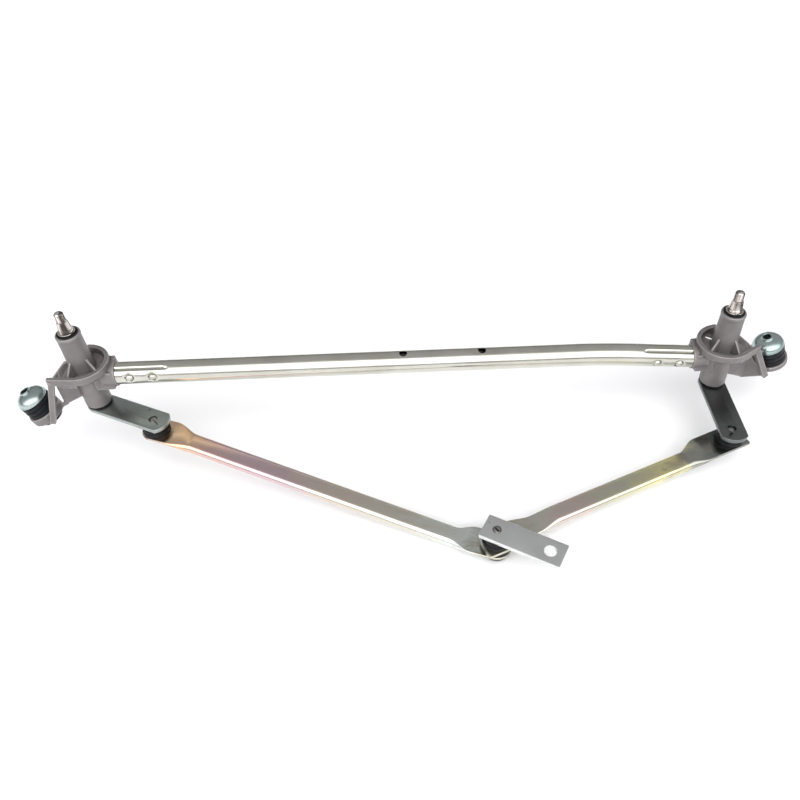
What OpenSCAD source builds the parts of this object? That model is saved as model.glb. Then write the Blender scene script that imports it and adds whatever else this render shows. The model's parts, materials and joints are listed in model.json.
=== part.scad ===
// Wiper linkage: two die-cast spindle housings on a frame tube, each with a lever,
// and two ball-jointed push rods that meet on the motor crank's double ball stud.
// Millimetres. +Z runs up the spindles, +X from the left housing to the right one.
// The origin is the middle of the left mounting sleeve, in the plane of its cap's rim.

/* [Layout] */
// distance between the two spindle axes
spindle_pitch = 560; // [480:5:640]
// how far the right housing sits below the left one
spindle_drop = 27; // [10:1:40]
// left lever's direction, from +X towards +Y
left_lever_angle = -27; // [-60:1:-20]
// right lever's direction, from +X towards +Y
right_lever_angle = -92; // [-110:1:-80]
// length of the left push rod between ball centres
left_rod_length = 311.5; // [300:0.5:330]
// length of the right push rod between ball centres
right_rod_length = 231.5; // [225:0.5:260]
// motor crank's direction, from +X towards +Y
crank_angle = -31; // [-45:1:-20]

/* [Spindles] */
// height of the housing's spindle boss
boss_height = 79; // [70:1:90]
// outer radius of the boss at its foot
boss_foot_r = 11.4; // [10.5:0.1:13]
// outer radius of the boss at its top
boss_top_r = 10; // [9.8:0.1:10.5]
// radius of the spindle in its bearings
spindle_r = 6; // [5:0.25:6.5]
// wall of the sintered bearing bushes
bush_wall = 1.75; // [1:0.05:2]
// length of each bearing bush
bush_length = 16; // [10:1:20]
// length of the knurled cone
cone_length = 8.5; // [7:0.5:11]
// radius of the knurled cone at its foot
cone_foot_r = 5.4; // [4.8:0.1:5.5]
// radius of the threaded end
thread_r = 4; // [3:0.5:4]
// length of the threaded end
thread_length = 8.4; // [7:0.2:14]
// radius of the black thrust washer under the boss
washer_r = 11.1; // [10.5:0.1:12]
// thickness of the thrust washer
washer_thickness = 1.5; // [1:0.1:2.5]

/* [Levers and crank] */
// lever length between spindle and ball
lever_length = 60; // [50:1:65]
// lever width
lever_width = 22.6; // [20:0.2:24]
// thickness of the levers
lever_thickness = 4; // [3:0.5:5]
// from the ball's centre to the lever's rounded end
lever_overhang = 14.5; // [12:0.5:16]
// crank length between ball and motor shaft
crank_length = 45; // [35:1:50]
// crank width
crank_width = 22.4; // [20:0.2:24]
// thickness of the crank
crank_thickness = 4; // [3:0.5:4.5]
// from the crank's hole centres to its square ends
crank_overhang = 11.4; // [9:0.2:13]
// radius of the crank's motor shaft hole
crank_hole_r = 5.1; // [4:0.1:6]
// height of the crank's top face below the left boss
crank_depth = 35.5; // [34:0.5:36]

/* [Ball joints] */
// ball radius on the levers
ball_r = 6.5; // [5:0.25:6.5]
// radius of the crank stud's upper ball
upper_ball_r = 6; // [5:0.25:6]
// radius of the crank stud's lower ball, in the open pivot
lower_ball_r = 5; // [4:0.25:5]
// radius of the studs' necks
neck_r = 3.6; // [3:0.1:3.8]
// radius of the riveted heads on the plates
rivet_r = 4.6; // [4.2:0.1:6]
// outer radius of the black ball sockets
socket_r = 12; // [11:0.25:12.5]
// radial play of the open pivot, which takes up the coupled joints' error
pivot_play = 4.9; // [4.7:0.1:5.2]

/* [Push rods] */
// width of the flattened rod tube
rod_width = 18.5; // [16:0.5:20]
// height of the flattened rod tube
rod_height = 10; // [8:0.5:10.5]
// corner radius of the flattened rod tube
rod_corner = 3; // [2:0.25:4]
// thickness of the rods' pressed end plates
plate_thickness = 2.5; // [2:0.25:3]
// width of the rods' pressed end plates
plate_width = 26.5; // [25:0.5:28]
// corner radius of the right rod's inner end plate
plate_corner = 8; // [4:0.5:10]
// how far the right rod's inner plate lies below its outer plate
rod_step = 8.5; // [8:0.25:9.5]
// how far the left rod's inner plate lies below the right one
plate_gap = 7.5; // [7:0.25:9]
// how far the rods' tops lie below their outer plates
rod_sink = 3.5; // [0:0.25:4.5]

/* [Frame tube] */
// outer radius of the frame tube
tube_r = 10; // [9:0.25:11]
// wall of the frame tube
tube_wall = 1.5; // [1:0.1:2]
// height of the tube's ends above the boss feet
tube_height = 31; // [29:0.5:32]
// where the tube bends, from the left spindle
tube_bend_x = 455; // [400:5:480]
// how far the bend stands above the line between the tube's ends
tube_bend_rise = 5.7; // [3:0.1:8]
// radius of the two motor bracket holes
bracket_hole_r = 3.5; // [2.5:0.25:4]
// the first bracket hole, from the left spindle
bracket_hole_x = 277; // [200:1:300]
// distance between the bracket holes
bracket_hole_pitch = 69; // [40:1:90]

/* [Housings] */
// radius of the cast cup around the boss
cup_r = 22; // [20:0.5:24]
// wall of the casting
cast_wall = 2.6; // [2:0.1:3.2]
// height of the cup's rim above the boss foot
rim_height = 46.5; // [45:0.5:50]
// height of the cup's floor above the boss foot
floor_height = 18; // [15:0.5:19]
// height of the raised lip along the rim
lip_height = 7; // [5:0.5:9]
// how far the lip stands out of the wall
lip_depth = 1.2; // [0.6:0.1:2]
// radius of the collar that carries the tube
collar_r = 12; // [11.25:0.25:13]
// from the spindle to the block's face
collar_reach = 27; // [25:0.5:30]
// length of the spigot in the tube
spigot_length = 42; // [30:1:48]
// length of the left front wall past the spindle
left_wall_reach = 23; // [21:0.5:26]
// length of the right front wall past the spindle
right_wall_reach = 20; // [18:0.5:24]
// how far the left front wall turns back, in degrees
left_wall_turn = 6; // [0:1:10]
// how far the right front wall turns back, in degrees
right_wall_turn = 30; // [20:1:35]
// width of the end post
post_width = 6; // [4:0.5:8]

/* [Mounts] */
// left mount outwards from its spindle
left_mount_out = 52; // [48:0.5:58]
// left mount behind its spindle
left_mount_back = -8; // [-12:0.5:0]
// left mount above its boss foot
left_mount_up = 14.5; // [10:0.5:20]
// right mount outwards from its spindle
right_mount_out = 48.5; // [44:0.5:54]
// right mount behind its spindle
right_mount_back = 12; // [4:0.5:16]
// right mount above its boss foot
right_mount_up = 27; // [22:0.5:32]
// lean of both mounts to the left, in degrees
mount_lean = 20; // [14:1:24]
// radius of the domed cap
cap_r = 13.5; // [12:0.25:14]
// height of the domed cap
cap_height = 9.5; // [7:0.5:11]
// radius of the fixing bolt's hole
bolt_r = 3.25; // [2.5:0.25:4]
// wall of the mounting sleeve
sleeve_wall = 1.75; // [1.25:0.25:2.5]
// radius of the rubber's ribs
rubber_r = 13.5; // [12.5:0.25:14]
// radius of the rubber's neck in the seat ring
rubber_neck_r = 11; // [9.5:0.25:11.5]
// height of the rubber above the seat ring
rubber_height = 16; // [14:0.5:19]
// outer radius of the seat ring
ring_r = 15; // [14.25:0.25:16.5]
// height of the seat ring
ring_height = 5; // [4:0.5:7]

/* [Hidden] */
$fn = 64;
hull_fn = 32;
sliver = 0.02;
// small steps that keep faces from lying on each other, and a turn that parts their seams
step = 0.15;
seam_turn = 40;
// how far cutting shapes run past the faces they cut
over = 1;

// clearances: running shaft, ball in its cup, and parts that pass each other
running_gap = 0.04;
cup_gap = 0.3;
pass_gap = 0.3;

// spindle stack
bore_r = spindle_r + running_gap + bush_wall;
washer_z = -pass_gap - washer_thickness;
lever_top = washer_z;
lever_bottom = lever_top - lever_thickness;
tail_step = 1;
tail_r = spindle_r - tail_step;
seal_height = 4;
seal_stand = 1;
clip_gap = 0.6;
clip_z = boss_height + seal_stand + clip_gap;
clip_height = 1;
clip_groove = 0.5;
clip_wall = 1.2;
clip_r = spindle_r + clip_wall;
clip_opening = 3;
clip_land = 2;
shoulder_z = clip_z + clip_height + clip_land;
thread_relief = 0.3;
cone_top_r = thread_r + thread_relief;
tip_length = 1.5;
tip_taper = 1.2;

// ball joints, measured from a plate's underside
head_height = 1.2;
rivet_taper = 0.8;
ball_neck = 2;
ball_drop = ball_r + ball_neck;
socket_top_drop = 2.2;
lip_room = 1.3;
socket_lip_r = neck_r + lip_room;
socket_wall = 2.4;
socket_neck_r = ball_r + cup_gap + socket_wall;
plate_drop = 11.2;
socket_tail = 3;
open_cup_r = lower_ball_r + pivot_play;
cup_wall = 1.2;
lower_ball_gap = 0.5;
crank_socket_gap = 1.5;
cup_top_gap = 0.7;
cup_floor_gap = 0.6;

// places
left_boss = [left_mount_out, -left_mount_back, -left_mount_up];
right_boss = left_boss + [spindle_pitch, 0, -spindle_drop];
function polar(r, a) = [r * cos(a), r * sin(a), 0];
function run_of(slope) = [cos(slope), 0, sin(slope)];
left_ball = left_boss + polar(lever_length, left_lever_angle);
right_ball = right_boss + polar(lever_length, right_lever_angle);
// the crank stud lies where the two rods' reaches cross, on the viewer's side
span = [right_ball[0] - left_ball[0], right_ball[1] - left_ball[1]];
span_length = norm(span);
span_angle = atan2(span[1], span[0]);
left_opening = acos((left_rod_length ^ 2 + span_length ^ 2 - right_rod_length ^ 2)
                    / (2 * left_rod_length * span_length));
right_opening = acos((right_rod_length ^ 2 + span_length ^ 2 - left_rod_length ^ 2)
                     / (2 * right_rod_length * span_length));
left_rod_angle = span_angle - left_opening;
right_rod_angle = span_angle + 180 + right_opening;
crank_stud = left_ball + polar(left_rod_length, left_rod_angle);

// heights of the push rods' plates and of the crank, below the left boss
outer_plate_z = lever_bottom - plate_drop;
crank_bottom = -crank_depth - crank_thickness;
right_plate_z = -spindle_drop + outer_plate_z - rod_step;
left_plate_z = right_plate_z - plate_gap;
upper_ball_z = right_plate_z + plate_thickness + upper_ball_r / 2;
lower_ball_z = right_plate_z - lower_ball_r - lower_ball_gap;

// where the push rods' flat plates end and their tubes start, from the outer or inner ball
left_flat = 15;
left_flare = 34;
left_inner_flat = 24;
left_inner_flare = 42;
left_end_lift = 1;
right_flat = 30;
right_flare = 42;
right_inner_flat = 37;
right_inner_flare = 56;
plate_lap = 1;

// frame tube
tube_inner_r = tube_r - tube_wall;
tube_left = left_boss + [collar_reach, 0, tube_height];
tube_right = right_boss + [-collar_reach, 0, tube_height];
tube_chord = (tube_right[2] - tube_left[2]) / (tube_right[0] - tube_left[0]);
bend_x = left_boss[0] + tube_bend_x;
bend_z = tube_left[2] + tube_chord * (bend_x - tube_left[0]) + tube_bend_rise;
left_slope = atan2(bend_z - tube_left[2], bend_x - tube_left[0]);
right_slope = atan2(tube_right[2] - bend_z, tube_right[0] - bend_x);
middle_slope = (left_slope + right_slope) / 2;
bend_length = 36;
// the tube's line: its two ends, with a short run between two mitres at the bend
tube_points = [tube_left,
               [bend_x, tube_left[1], bend_z] - bend_length / 2 * run_of(left_slope),
               [bend_x, tube_left[1], bend_z] + bend_length / 2 * run_of(right_slope),
               tube_right];
tube_slopes = [left_slope, middle_slope, right_slope];
tube_cuts = [left_slope, (left_slope + middle_slope) / 2, (middle_slope + right_slope) / 2, right_slope];
stake_places = [12, 32];
left_stake_angle = 80;
right_stake_angle = 102;
stake_r = 4.2;
stake_depth = 0.8;
groove_length = 44;
groove_r = 2.2;
groove_depth = 0.7;
groove_angle = 31;

// mounts
sleeve_r = bolt_r + sleeve_wall;
ring_top = -rubber_height;
ring_bottom = ring_top - ring_height;
rubber_foot = 6;
sleeve_stand = 1;
sleeve_bottom = ring_bottom - rubber_foot - sleeve_stand;
cap_edge = 1.6;
nub_wall = 1.4;
nub_r = bolt_r + nub_wall;
nub_height = 1.5;
rib_count = 3;
rib_share = 0.7;
rib_depth = 1;

// housing details
crown_height = 3;
crown_step = 0.4;
wall_slope = 0.12;
wall_notch = 8;
floor_skirt = 2;
rib_angles = [100, 215, 262, 285];
rib_width = 1.7;
rib_drop = 9;
rib_root = 1;
web_rise = 6;
web_root = 2;
web_shoulder = [20, 4];
block_depth = 6;
spigot_root = 4;
post_foot = [-8, -13, 2];
post_depth = 5;
arm_width = 18;

cast_colour = [0.66, 0.64, 0.62];
zinc_colour = [0.72, 0.71, 0.66];
lever_colour = [0.52, 0.54, 0.53];
crank_colour = [0.62, 0.64, 0.64];
steel_colour = [0.74, 0.71, 0.67];
cap_colour = [0.60, 0.68, 0.67];
bronze_colour = [0.55, 0.42, 0.26];
black_colour = [0.05, 0.05, 0.055];

// Put right-handed housing parts on one side: +X runs outwards
module on_side(side) {
    translate(side < 0 ? left_boss : right_boss)
        mirror([side < 0 ? 1 : 0, 0, 0])
            children();
}

function mount_of(side) = side < 0 ? [left_mount_out, left_mount_back, left_mount_up]
                                   : [right_mount_out, right_mount_back, right_mount_up];
function lean_of(side) = -side * mount_lean;
function reach_of(side) = side < 0 ? left_wall_reach : right_wall_reach;
function seat_of(side) = mount_of(side) + ring_bottom * [sin(lean_of(side)), 0, cos(lean_of(side))];
function seat_reach(side) = norm([seat_of(side)[0], seat_of(side)[1]]) - ring_r + cast_wall;
function seat_height(side) = seat_of(side)[2] + ring_r * sin(lean_of(side));
function turn_of(side) = side < 0 ? left_wall_turn : right_wall_turn;
function slope_of(side) = side < 0 ? left_slope : -right_slope;

module on_mount(side) {
    on_side(side)
        at_mount(side)
            children();
}

// Put parts on a mount's axis, inside a housing's own frame
module at_mount(side) {
    translate(mount_of(side))
        rotate([0, lean_of(side), 0])
            children();
}

// Put parts along a lever, with +X towards its ball
module on_lever(side) {
    translate(side < 0 ? left_boss : right_boss)
        rotate(side < 0 ? left_lever_angle : right_lever_angle)
            children();
}

// Put parts along a push rod, with +X from the lever's ball to the crank's stud
module on_rod(side) {
    at = side < 0 ? left_ball : right_ball;
    translate([at[0], at[1], left_boss[2]])
        rotate(side < 0 ? left_rod_angle : right_rod_angle)
            children();
}

module on_crank() {
    translate([crank_stud[0], crank_stud[1], left_boss[2]])
        rotate(crank_angle)
            children();
}

module ring(outer, inner, height) {
    difference() {
        cylinder(h = height, r = outer);
        translate([0, 0, -sliver])
            cylinder(h = height + 2 * sliver, r = inner);
    }
}

// Frame tube

// One straight run of the tube, cut at both ends by its mitre planes: the run in the bend is
// a little thicker, so that no two runs' faces lie on each other
module tube_run(i) {
    grow = i == 1 ? step : 0;
    from = tube_points[i];
    to = tube_points[i + 1];
    length = norm(to - from);
    span = length + 4 * tube_r;
    intersection() {
        translate(from)
            rotate([0, 90 - tube_slopes[i], 0])
                translate([0, 0, -tube_r])
                    ring(tube_r + grow, tube_inner_r - grow, length + 2 * tube_r);
        translate(from)
            rotate([0, -tube_cuts[i], 0])
                translate([0, -2 * tube_r, -2 * tube_r])
                    cube([span, 4 * tube_r, 4 * tube_r]);
        translate(to)
            rotate([0, -tube_cuts[i + 1], 0])
                translate([-span, -2 * tube_r, -2 * tube_r])
                    cube([span, 4 * tube_r, 4 * tube_r]);
    }
}

// Crimp groove and staking dimples near one end, with +X into the tube
module end_marks(stake_angle) {
    rotate([groove_angle, 0, 0])
        translate([0, 0, tube_r + groove_r - groove_depth])
            rotate([0, 90, 0])
                translate([0, 0, -over])
                    cylinder(h = groove_length + over, r = groove_r);
    for (x = stake_places)
        rotate([stake_angle, 0, 0])
            translate([x, 0, tube_r + stake_r - stake_depth])
                rotate([90, 0, 0])
                    sphere(stake_r);
}

module frame_tube() {
    color(zinc_colour)
        difference() {
            union() {
                for (i = [0 : 2])
                    tube_run(i);
            }
            translate(tube_left)
                rotate([0, -left_slope, 0])
                    end_marks(left_stake_angle);
            translate(tube_right)
                mirror([1, 0, 0])
                    rotate([0, right_slope, 0])
                        end_marks(right_stake_angle);
            for (x = [0, bracket_hole_pitch])
                translate([left_boss[0] + bracket_hole_x + x, left_boss[1], tube_left[2] - 3 * tube_r])
                    rotate(seam_turn)
                        cylinder(h = 5 * tube_r, r = bracket_hole_r);
        }
}

// Housings

module boss_shape() {
    cylinder(h = boss_height, r1 = boss_foot_r, r2 = boss_top_r);
    translate([0, 0, boss_height - crown_height])
        cylinder(h = crown_height, r = boss_top_r + crown_step);
}

// Front wall of the arm, drawn along X and up
module arm_wall(depth, bottom, reach) {
    low_reach = reach - wall_slope * (rim_height - bottom);
    translate([0, -cup_r + cast_wall + step, 0])
        rotate([90, 0, 0])
            linear_extrude(depth)
                polygon([[-cast_wall, bottom], [-cast_wall, rim_height - step],
                         [reach, rim_height - step], [low_reach, bottom]]);
}

module cup_shape(side) {
    turn = turn_of(side);
    far = 4 * cup_r;
    difference() {
        union() {
            translate([0, 0, floor_height])
                cylinder(h = rim_height - floor_height, r = cup_r);
            translate([0, 0, rim_height - lip_height])
                cylinder(h = lip_height, r = cup_r + lip_depth);
        }
        translate([0, 0, floor_height + cast_wall])
            cylinder(h = rim_height, r = cup_r - cast_wall);
        // the cup is open on the arm's side, where the front wall carries on
        translate([0, 0, floor_height - sliver])
            linear_extrude(rim_height)
                polygon([[0, 0], [far * sin(turn), -far * cos(turn)], [far, 0], [0, far]]);
    }
    rotate(turn) {
        arm_wall(cast_wall, floor_height - floor_skirt, reach_of(side) - wall_notch);
        arm_wall(cast_wall + lip_depth, rim_height - lip_height, reach_of(side));
    }
}

// Ribs that tie the boss to the cup's wall
module cup_ribs() {
    for (a = rib_angles)
        rotate(a)
            translate([boss_top_r - rib_root, -rib_width / 2, floor_height + step])
                cube([cup_r - boss_top_r, rib_width, rim_height - floor_height - rib_drop]);
}

module seat_ring_shape(side) {
    at_mount(side)
        translate([0, 0, ring_bottom])
            cylinder(h = ring_height, r = ring_r);
}

// Put a profile of distance and height on the line from the boss to the seat ring
module towards_seat(side, width) {
    seat = seat_of(side);
    rotate(atan2(seat[1], seat[0]))
        translate([0, width / 2, 0])
            rotate([90, 0, 0])
                linear_extrude(width)
                    children();
}

// Radial web from the boss out to the seat ring, under a sloping top edge
module back_web(side) {
    reach = seat_reach(side);
    seat_z = seat_height(side);
    start = boss_top_r - web_root;
    towards_seat(side, cast_wall)
        polygon([[start, floor_height],
                 [start, rim_height + web_rise],
                 [web_shoulder[0], rim_height - web_shoulder[1]],
                 [reach, seat_z + ring_height],
                 [reach, seat_z],
                 [boss_foot_r, floor_height - floor_skirt]]);
}

// Post from the end of the front wall down to the seat ring
module end_post(side) {
    turn = turn_of(side);
    wall_end = [reach_of(side) - post_width / 2, -cup_r + cast_wall / 2];
    top = [wall_end[0] * cos(turn) - wall_end[1] * sin(turn),
           wall_end[0] * sin(turn) + wall_end[1] * cos(turn),
           rim_height - lip_height / 2];
    foot = seat_of(side) + post_foot;
    line = foot - top;
    translate(top)
        rotate([0, 0, atan2(line[1], line[0])])
            rotate([0, atan2(norm([line[0], line[1]]), line[2]), 0])
                translate([-post_depth / 2, -post_width / 2, 0])
                    cube([post_depth, post_width, norm(line)]);
}

// Sloping floor from the cup to the seat ring
module arm_floor(side) {
    towards_seat(side, arm_width)
        polygon([[0, floor_height + step],
                 [0, floor_height + cast_wall - step],
                 [seat_reach(side), seat_height(side) + cast_wall],
                 [seat_reach(side), seat_height(side)]]);
}

// Block and spigot that carry the frame tube
module tube_block(side) {
    depth = collar_reach - cup_r + block_depth;
    translate([-collar_reach, 0, tube_height]) {
        rotate([0, 90, 0])
            cylinder(h = depth, r = collar_r);
        cube([depth - step, collar_r - step, collar_r - step]);
        rotate([0, -90 + slope_of(side), 0])
            translate([0, 0, -spigot_root])
                cylinder(h = spigot_length + spigot_root, r = tube_inner_r);
    }
}

// Room for the rubber: its neck in the ring, and its ribs above and foot below
module grommet_room(side) {
    at_mount(side) {
        translate([0, 0, ring_bottom - sliver])
            cylinder(h = ring_height + 2 * sliver, r = rubber_neck_r);
        translate([0, 0, ring_top])
            cylinder(h = rubber_height + cap_height, r = rubber_r + pass_gap);
        translate([0, 0, ring_bottom - 2 * rubber_foot])
            cylinder(h = 2 * rubber_foot, r = rubber_r + pass_gap);
    }
}

module housing(side) {
    color(cast_colour)
        on_side(side)
            difference() {
                union() {
                    boss_shape();
                    cup_shape(side);
                    cup_ribs();
                    back_web(side);
                    arm_floor(side);
                    end_post(side);
                    seat_ring_shape(side);
                    tube_block(side);
                }
                translate([0, 0, -over])
                    cylinder(h = boss_height + 2 * over, r = bore_r);
                grommet_room(side);
            }
}

module bush(side, z) {
    color(bronze_colour)
        on_side(side)
            translate([0, 0, z])
                ring(bore_r, spindle_r + running_gap, bush_length);
}

module seal_ring(side) {
    color(black_colour)
        on_side(side)
            translate([0, 0, boss_height + seal_stand - seal_height])
                ring(bore_r, spindle_r + running_gap, seal_height);
}

// Rubber bush, clipped into the seat ring
module grommet(side) {
    rib_pitch = rubber_height / rib_count;
    color(black_colour)
        on_mount(side)
            difference() {
                union() {
                    translate([0, 0, ring_top])
                        cylinder(h = rubber_height, r = rubber_r - rib_depth);
                    for (i = [0 : rib_count - 1])
                        translate([0, 0, ring_top + i * rib_pitch])
                            cylinder(h = rib_pitch * rib_share, r = rubber_r);
                    translate([0, 0, ring_bottom - rubber_foot / 2])
                        cylinder(h = ring_height + rubber_foot, r = rubber_neck_r);
                    translate([0, 0, ring_bottom - rubber_foot])
                        cylinder(h = rubber_foot, r1 = rubber_neck_r, r2 = rubber_r);
                }
                translate([0, 0, sleeve_bottom - over])
                    cylinder(h = 2 * over - sleeve_bottom, r = sleeve_r);
            }
}

// Domed cap pressed on the end of the sleeve that takes the fixing bolt
module mount_sleeve(side) {
    dome_r = (cap_r ^ 2 + cap_height ^ 2) / (2 * cap_height);
    color(cap_colour)
        on_mount(side)
            difference() {
                union() {
                    intersection() {
                        translate([0, 0, cap_height - dome_r])
                            sphere(dome_r);
                        cylinder(h = cap_height + over, r = cap_r);
                    }
                    cylinder(h = cap_edge, r = cap_r);
                    translate([0, 0, cap_height - nub_height])
                        cylinder(h = 2 * nub_height, r = nub_r);
                    translate([0, 0, sleeve_bottom])
                        cylinder(h = cap_edge - sleeve_bottom, r = sleeve_r);
                }
                translate([0, 0, sleeve_bottom - over])
                    cylinder(h = cap_height + nub_height - sleeve_bottom + 2 * over, r = bolt_r);
            }
}

// Spindles and levers

module spindle(side) {
    color(steel_colour)
        on_lever(side)
            difference() {
                union() {
                    translate([0, 0, lever_bottom])
                        cylinder(h = lever_thickness, r = tail_r);
                    translate([0, 0, lever_bottom - head_height])
                        cylinder(h = head_height, r1 = tail_r, r2 = spindle_r);
                    translate([0, 0, lever_top])
                        cylinder(h = shoulder_z - lever_top, r = spindle_r);
                    translate([0, 0, shoulder_z])
                        cylinder(h = cone_length, r1 = cone_foot_r, r2 = cone_top_r);
                    translate([0, 0, shoulder_z + cone_length])
                        cylinder(h = thread_length - tip_length, r = thread_r);
                    translate([0, 0, shoulder_z + cone_length + thread_length - tip_length])
                        cylinder(h = tip_length, r1 = thread_r, r2 = thread_r - tip_taper);
                }
                translate([0, 0, clip_z])
                    ring(spindle_r + over, spindle_r - clip_groove, clip_height);
            }
}

module lever_outline() {
    circle(lever_width / 2);
    intersection() {
        translate([0, -lever_width / 2])
            square([lever_length + lever_overhang, lever_width]);
        translate([lever_length, 0])
            circle(lever_overhang);
    }
    translate([0, -lever_width / 2])
        square([lever_length, lever_width]);
}

module lever(side) {
    color(lever_colour)
        on_lever(side)
            translate([0, 0, lever_bottom])
                difference() {
                    linear_extrude(lever_thickness)
                        lever_outline();
                    translate([0, 0, -over])
                        cylinder(h = lever_thickness + 2 * over, r = tail_r);
                    translate([lever_length, 0, -over])
                        cylinder(h = lever_thickness + 2 * over, r = neck_r);
                }
}

module ball_stud(side) {
    color(steel_colour)
        on_lever(side)
            translate([lever_length, 0, lever_bottom]) {
                translate([0, 0, -ball_drop])
                    sphere(ball_r);
                translate([0, 0, -ball_drop])
                    cylinder(h = ball_drop + lever_thickness, r = neck_r);
                translate([0, 0, lever_thickness])
                    cylinder(h = head_height, r1 = rivet_r, r2 = rivet_r - rivet_taper);
            }
}

module circlip(side) {
    color(steel_colour)
        on_lever(side)
            translate([0, 0, clip_z])
                difference() {
                    ring(clip_r, spindle_r - clip_groove, clip_height);
                    translate([0, -clip_opening / 2, -over])
                        cube([2 * clip_r, clip_opening, clip_height + 2 * over]);
                }
}

module thrust_washer(side) {
    color(black_colour)
        on_lever(side)
            translate([0, 0, washer_z])
                ring(washer_r, spindle_r, washer_thickness);
}

// Push rods

// Rounded section across Y and Z, given as [width, height, corner radius]
module rod_section(section, length) {
    width = section[0];
    height = section[1];
    corner = section[2];
    rotate([90, 0, 90])
        linear_extrude(length) {
            square([width - 2 * corner, height], center = true);
            square([width, height - 2 * corner], center = true);
            for (x = [-1, 1], y = [-1, 1])
                translate([x * (width / 2 - corner), y * (height / 2 - corner)])
                    circle(corner);
        }
}

// Transition between two sections, each at its own [x, z]
module blend(from, from_section, to, to_section) {
    hull() {
        translate([from[0], 0, from[1]])
            rod_section(from_section, sliver, $fn = hull_fn);
        translate([to[0], 0, to[1]])
            rod_section(to_section, sliver, $fn = hull_fn);
    }
}

// Flat end plate from x = 0 to its end at x = reach, whose corners are rounded
module end_plate(reach, corner) {
    straight = reach - corner;
    half = plate_width / 2;
    linear_extrude(plate_thickness) {
        translate([0, -half])
            square([straight, plate_width]);
        translate([straight - sliver, corner - half])
            square([corner + sliver, plate_width - 2 * corner]);
        for (y = [-1, 1])
            translate([straight, y * (half - corner)])
                circle(corner);
    }
}

module left_rod() {
    reach = left_rod_length - left_inner_flare;
    inner_start = left_rod_length - left_inner_flat;
    start_z = outer_plate_z + plate_thickness - rod_sink - rod_height / 2;
    end_z = left_plate_z + plate_thickness - rod_height / 2 + left_end_lift;
    slope = atan2(start_z - end_z, reach - left_flare);
    half = plate_width / 2;
    plate_mid = plate_thickness / 2;
    section = [rod_width, rod_height, rod_corner];
    leaf = [plate_width - step, plate_thickness - step, plate_mid - step];
    color(zinc_colour)
        on_rod(-1)
            difference() {
                union() {
                    translate([left_flat, 0, outer_plate_z])
                        mirror([1, 0, 0])
                            end_plate(left_flat + half, half - sliver);
                    blend([left_flat - plate_lap, outer_plate_z + plate_mid], leaf,
                          [left_flare, start_z], section);
                    translate([left_flare, 0, start_z])
                        rotate([0, slope, 0])
                            rod_section(section, (reach - left_flare) / cos(slope));
                    blend([reach, end_z], section, [inner_start, left_plate_z + plate_mid], leaf);
                    translate([inner_start, 0, left_plate_z])
                        end_plate(left_inner_flat + half, half - sliver);
                }
                translate([0, 0, outer_plate_z - over])
                    cylinder(h = plate_thickness + 2 * over, r = socket_neck_r);
                translate([left_rod_length, 0, left_plate_z - over])
                    cylinder(h = plate_thickness + 2 * over, r = open_cup_r + cup_wall);
            }
}

module right_rod() {
    step_start = right_rod_length - right_inner_flare;
    step_end = right_rod_length - right_inner_flat;
    rod_z = outer_plate_z - spindle_drop;
    section_z = rod_z + plate_thickness - rod_sink - rod_height / 2;
    half = plate_width / 2;
    plate_mid = plate_thickness / 2;
    section = [rod_width, rod_height, rod_corner];
    leaf = [plate_width - step, plate_thickness - step, plate_mid - step];
    neck = [rod_width, plate_thickness - step, plate_mid - step];
    color(zinc_colour)
        on_rod(1)
            difference() {
                union() {
                    translate([-half, -half, rod_z])
                        cube([half + right_flat, plate_width, plate_thickness]);
                    blend([right_flat - plate_lap, rod_z + plate_mid], leaf,
                          [right_flare, section_z], section);
                    translate([right_flare, 0, section_z])
                        rod_section(section, step_start - right_flare);
                    blend([step_start, section_z], section, [step_end, right_plate_z + plate_mid], neck);
                    blend([step_end, right_plate_z + plate_mid], neck,
                          [right_rod_length - half, right_plate_z + plate_mid], leaf);
                    translate([right_rod_length - half - plate_lap, 0, right_plate_z])
                        end_plate(plate_width + plate_lap, plate_corner);
                }
                translate([0, 0, rod_z - over])
                    cylinder(h = plate_thickness + 2 * over, r = socket_neck_r);
                translate([right_rod_length, 0, right_plate_z - over])
                    cylinder(h = plate_thickness + 2 * over, r = socket_neck_r);
            }
}

// Black socket on a rod's outer plate, open towards the lever
module outer_socket(side) {
    base = outer_plate_z - (side < 0 ? 0 : spindle_drop);
    ball_z = base + plate_drop - ball_drop;
    color(black_colour)
        on_rod(side)
            difference() {
                union() {
                    translate([0, 0, base + plate_thickness])
                        cylinder(h = plate_drop - plate_thickness - socket_top_drop, r = socket_r);
                    translate([0, 0, base - socket_tail])
                        cylinder(h = plate_thickness + socket_tail + over, r = socket_neck_r);
                }
                translate([0, 0, ball_z])
                    sphere(ball_r + cup_gap);
                translate([0, 0, ball_z])
                    cylinder(h = 3 * ball_r, r = socket_lip_r);
            }
}

// Socket of the right rod on the crank stud's upper ball, open right through
module right_rod_inner_socket() {
    socket_base = right_plate_z + plate_thickness;
    color(black_colour)
        on_rod(1)
            translate([right_rod_length, 0, 0])
                difference() {
                    union() {
                        translate([0, 0, socket_base])
                            cylinder(h = crank_bottom - crank_socket_gap - socket_base, r = socket_r);
                        translate([0, 0, right_plate_z])
                            cylinder(h = plate_thickness + over, r = socket_neck_r);
                    }
                    translate([0, 0, upper_ball_z])
                        sphere(upper_ball_r + cup_gap);
                    translate([0, 0, right_plate_z - over])
                        cylinder(h = 4 * upper_ball_r, r = socket_lip_r);
                }
}

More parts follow.
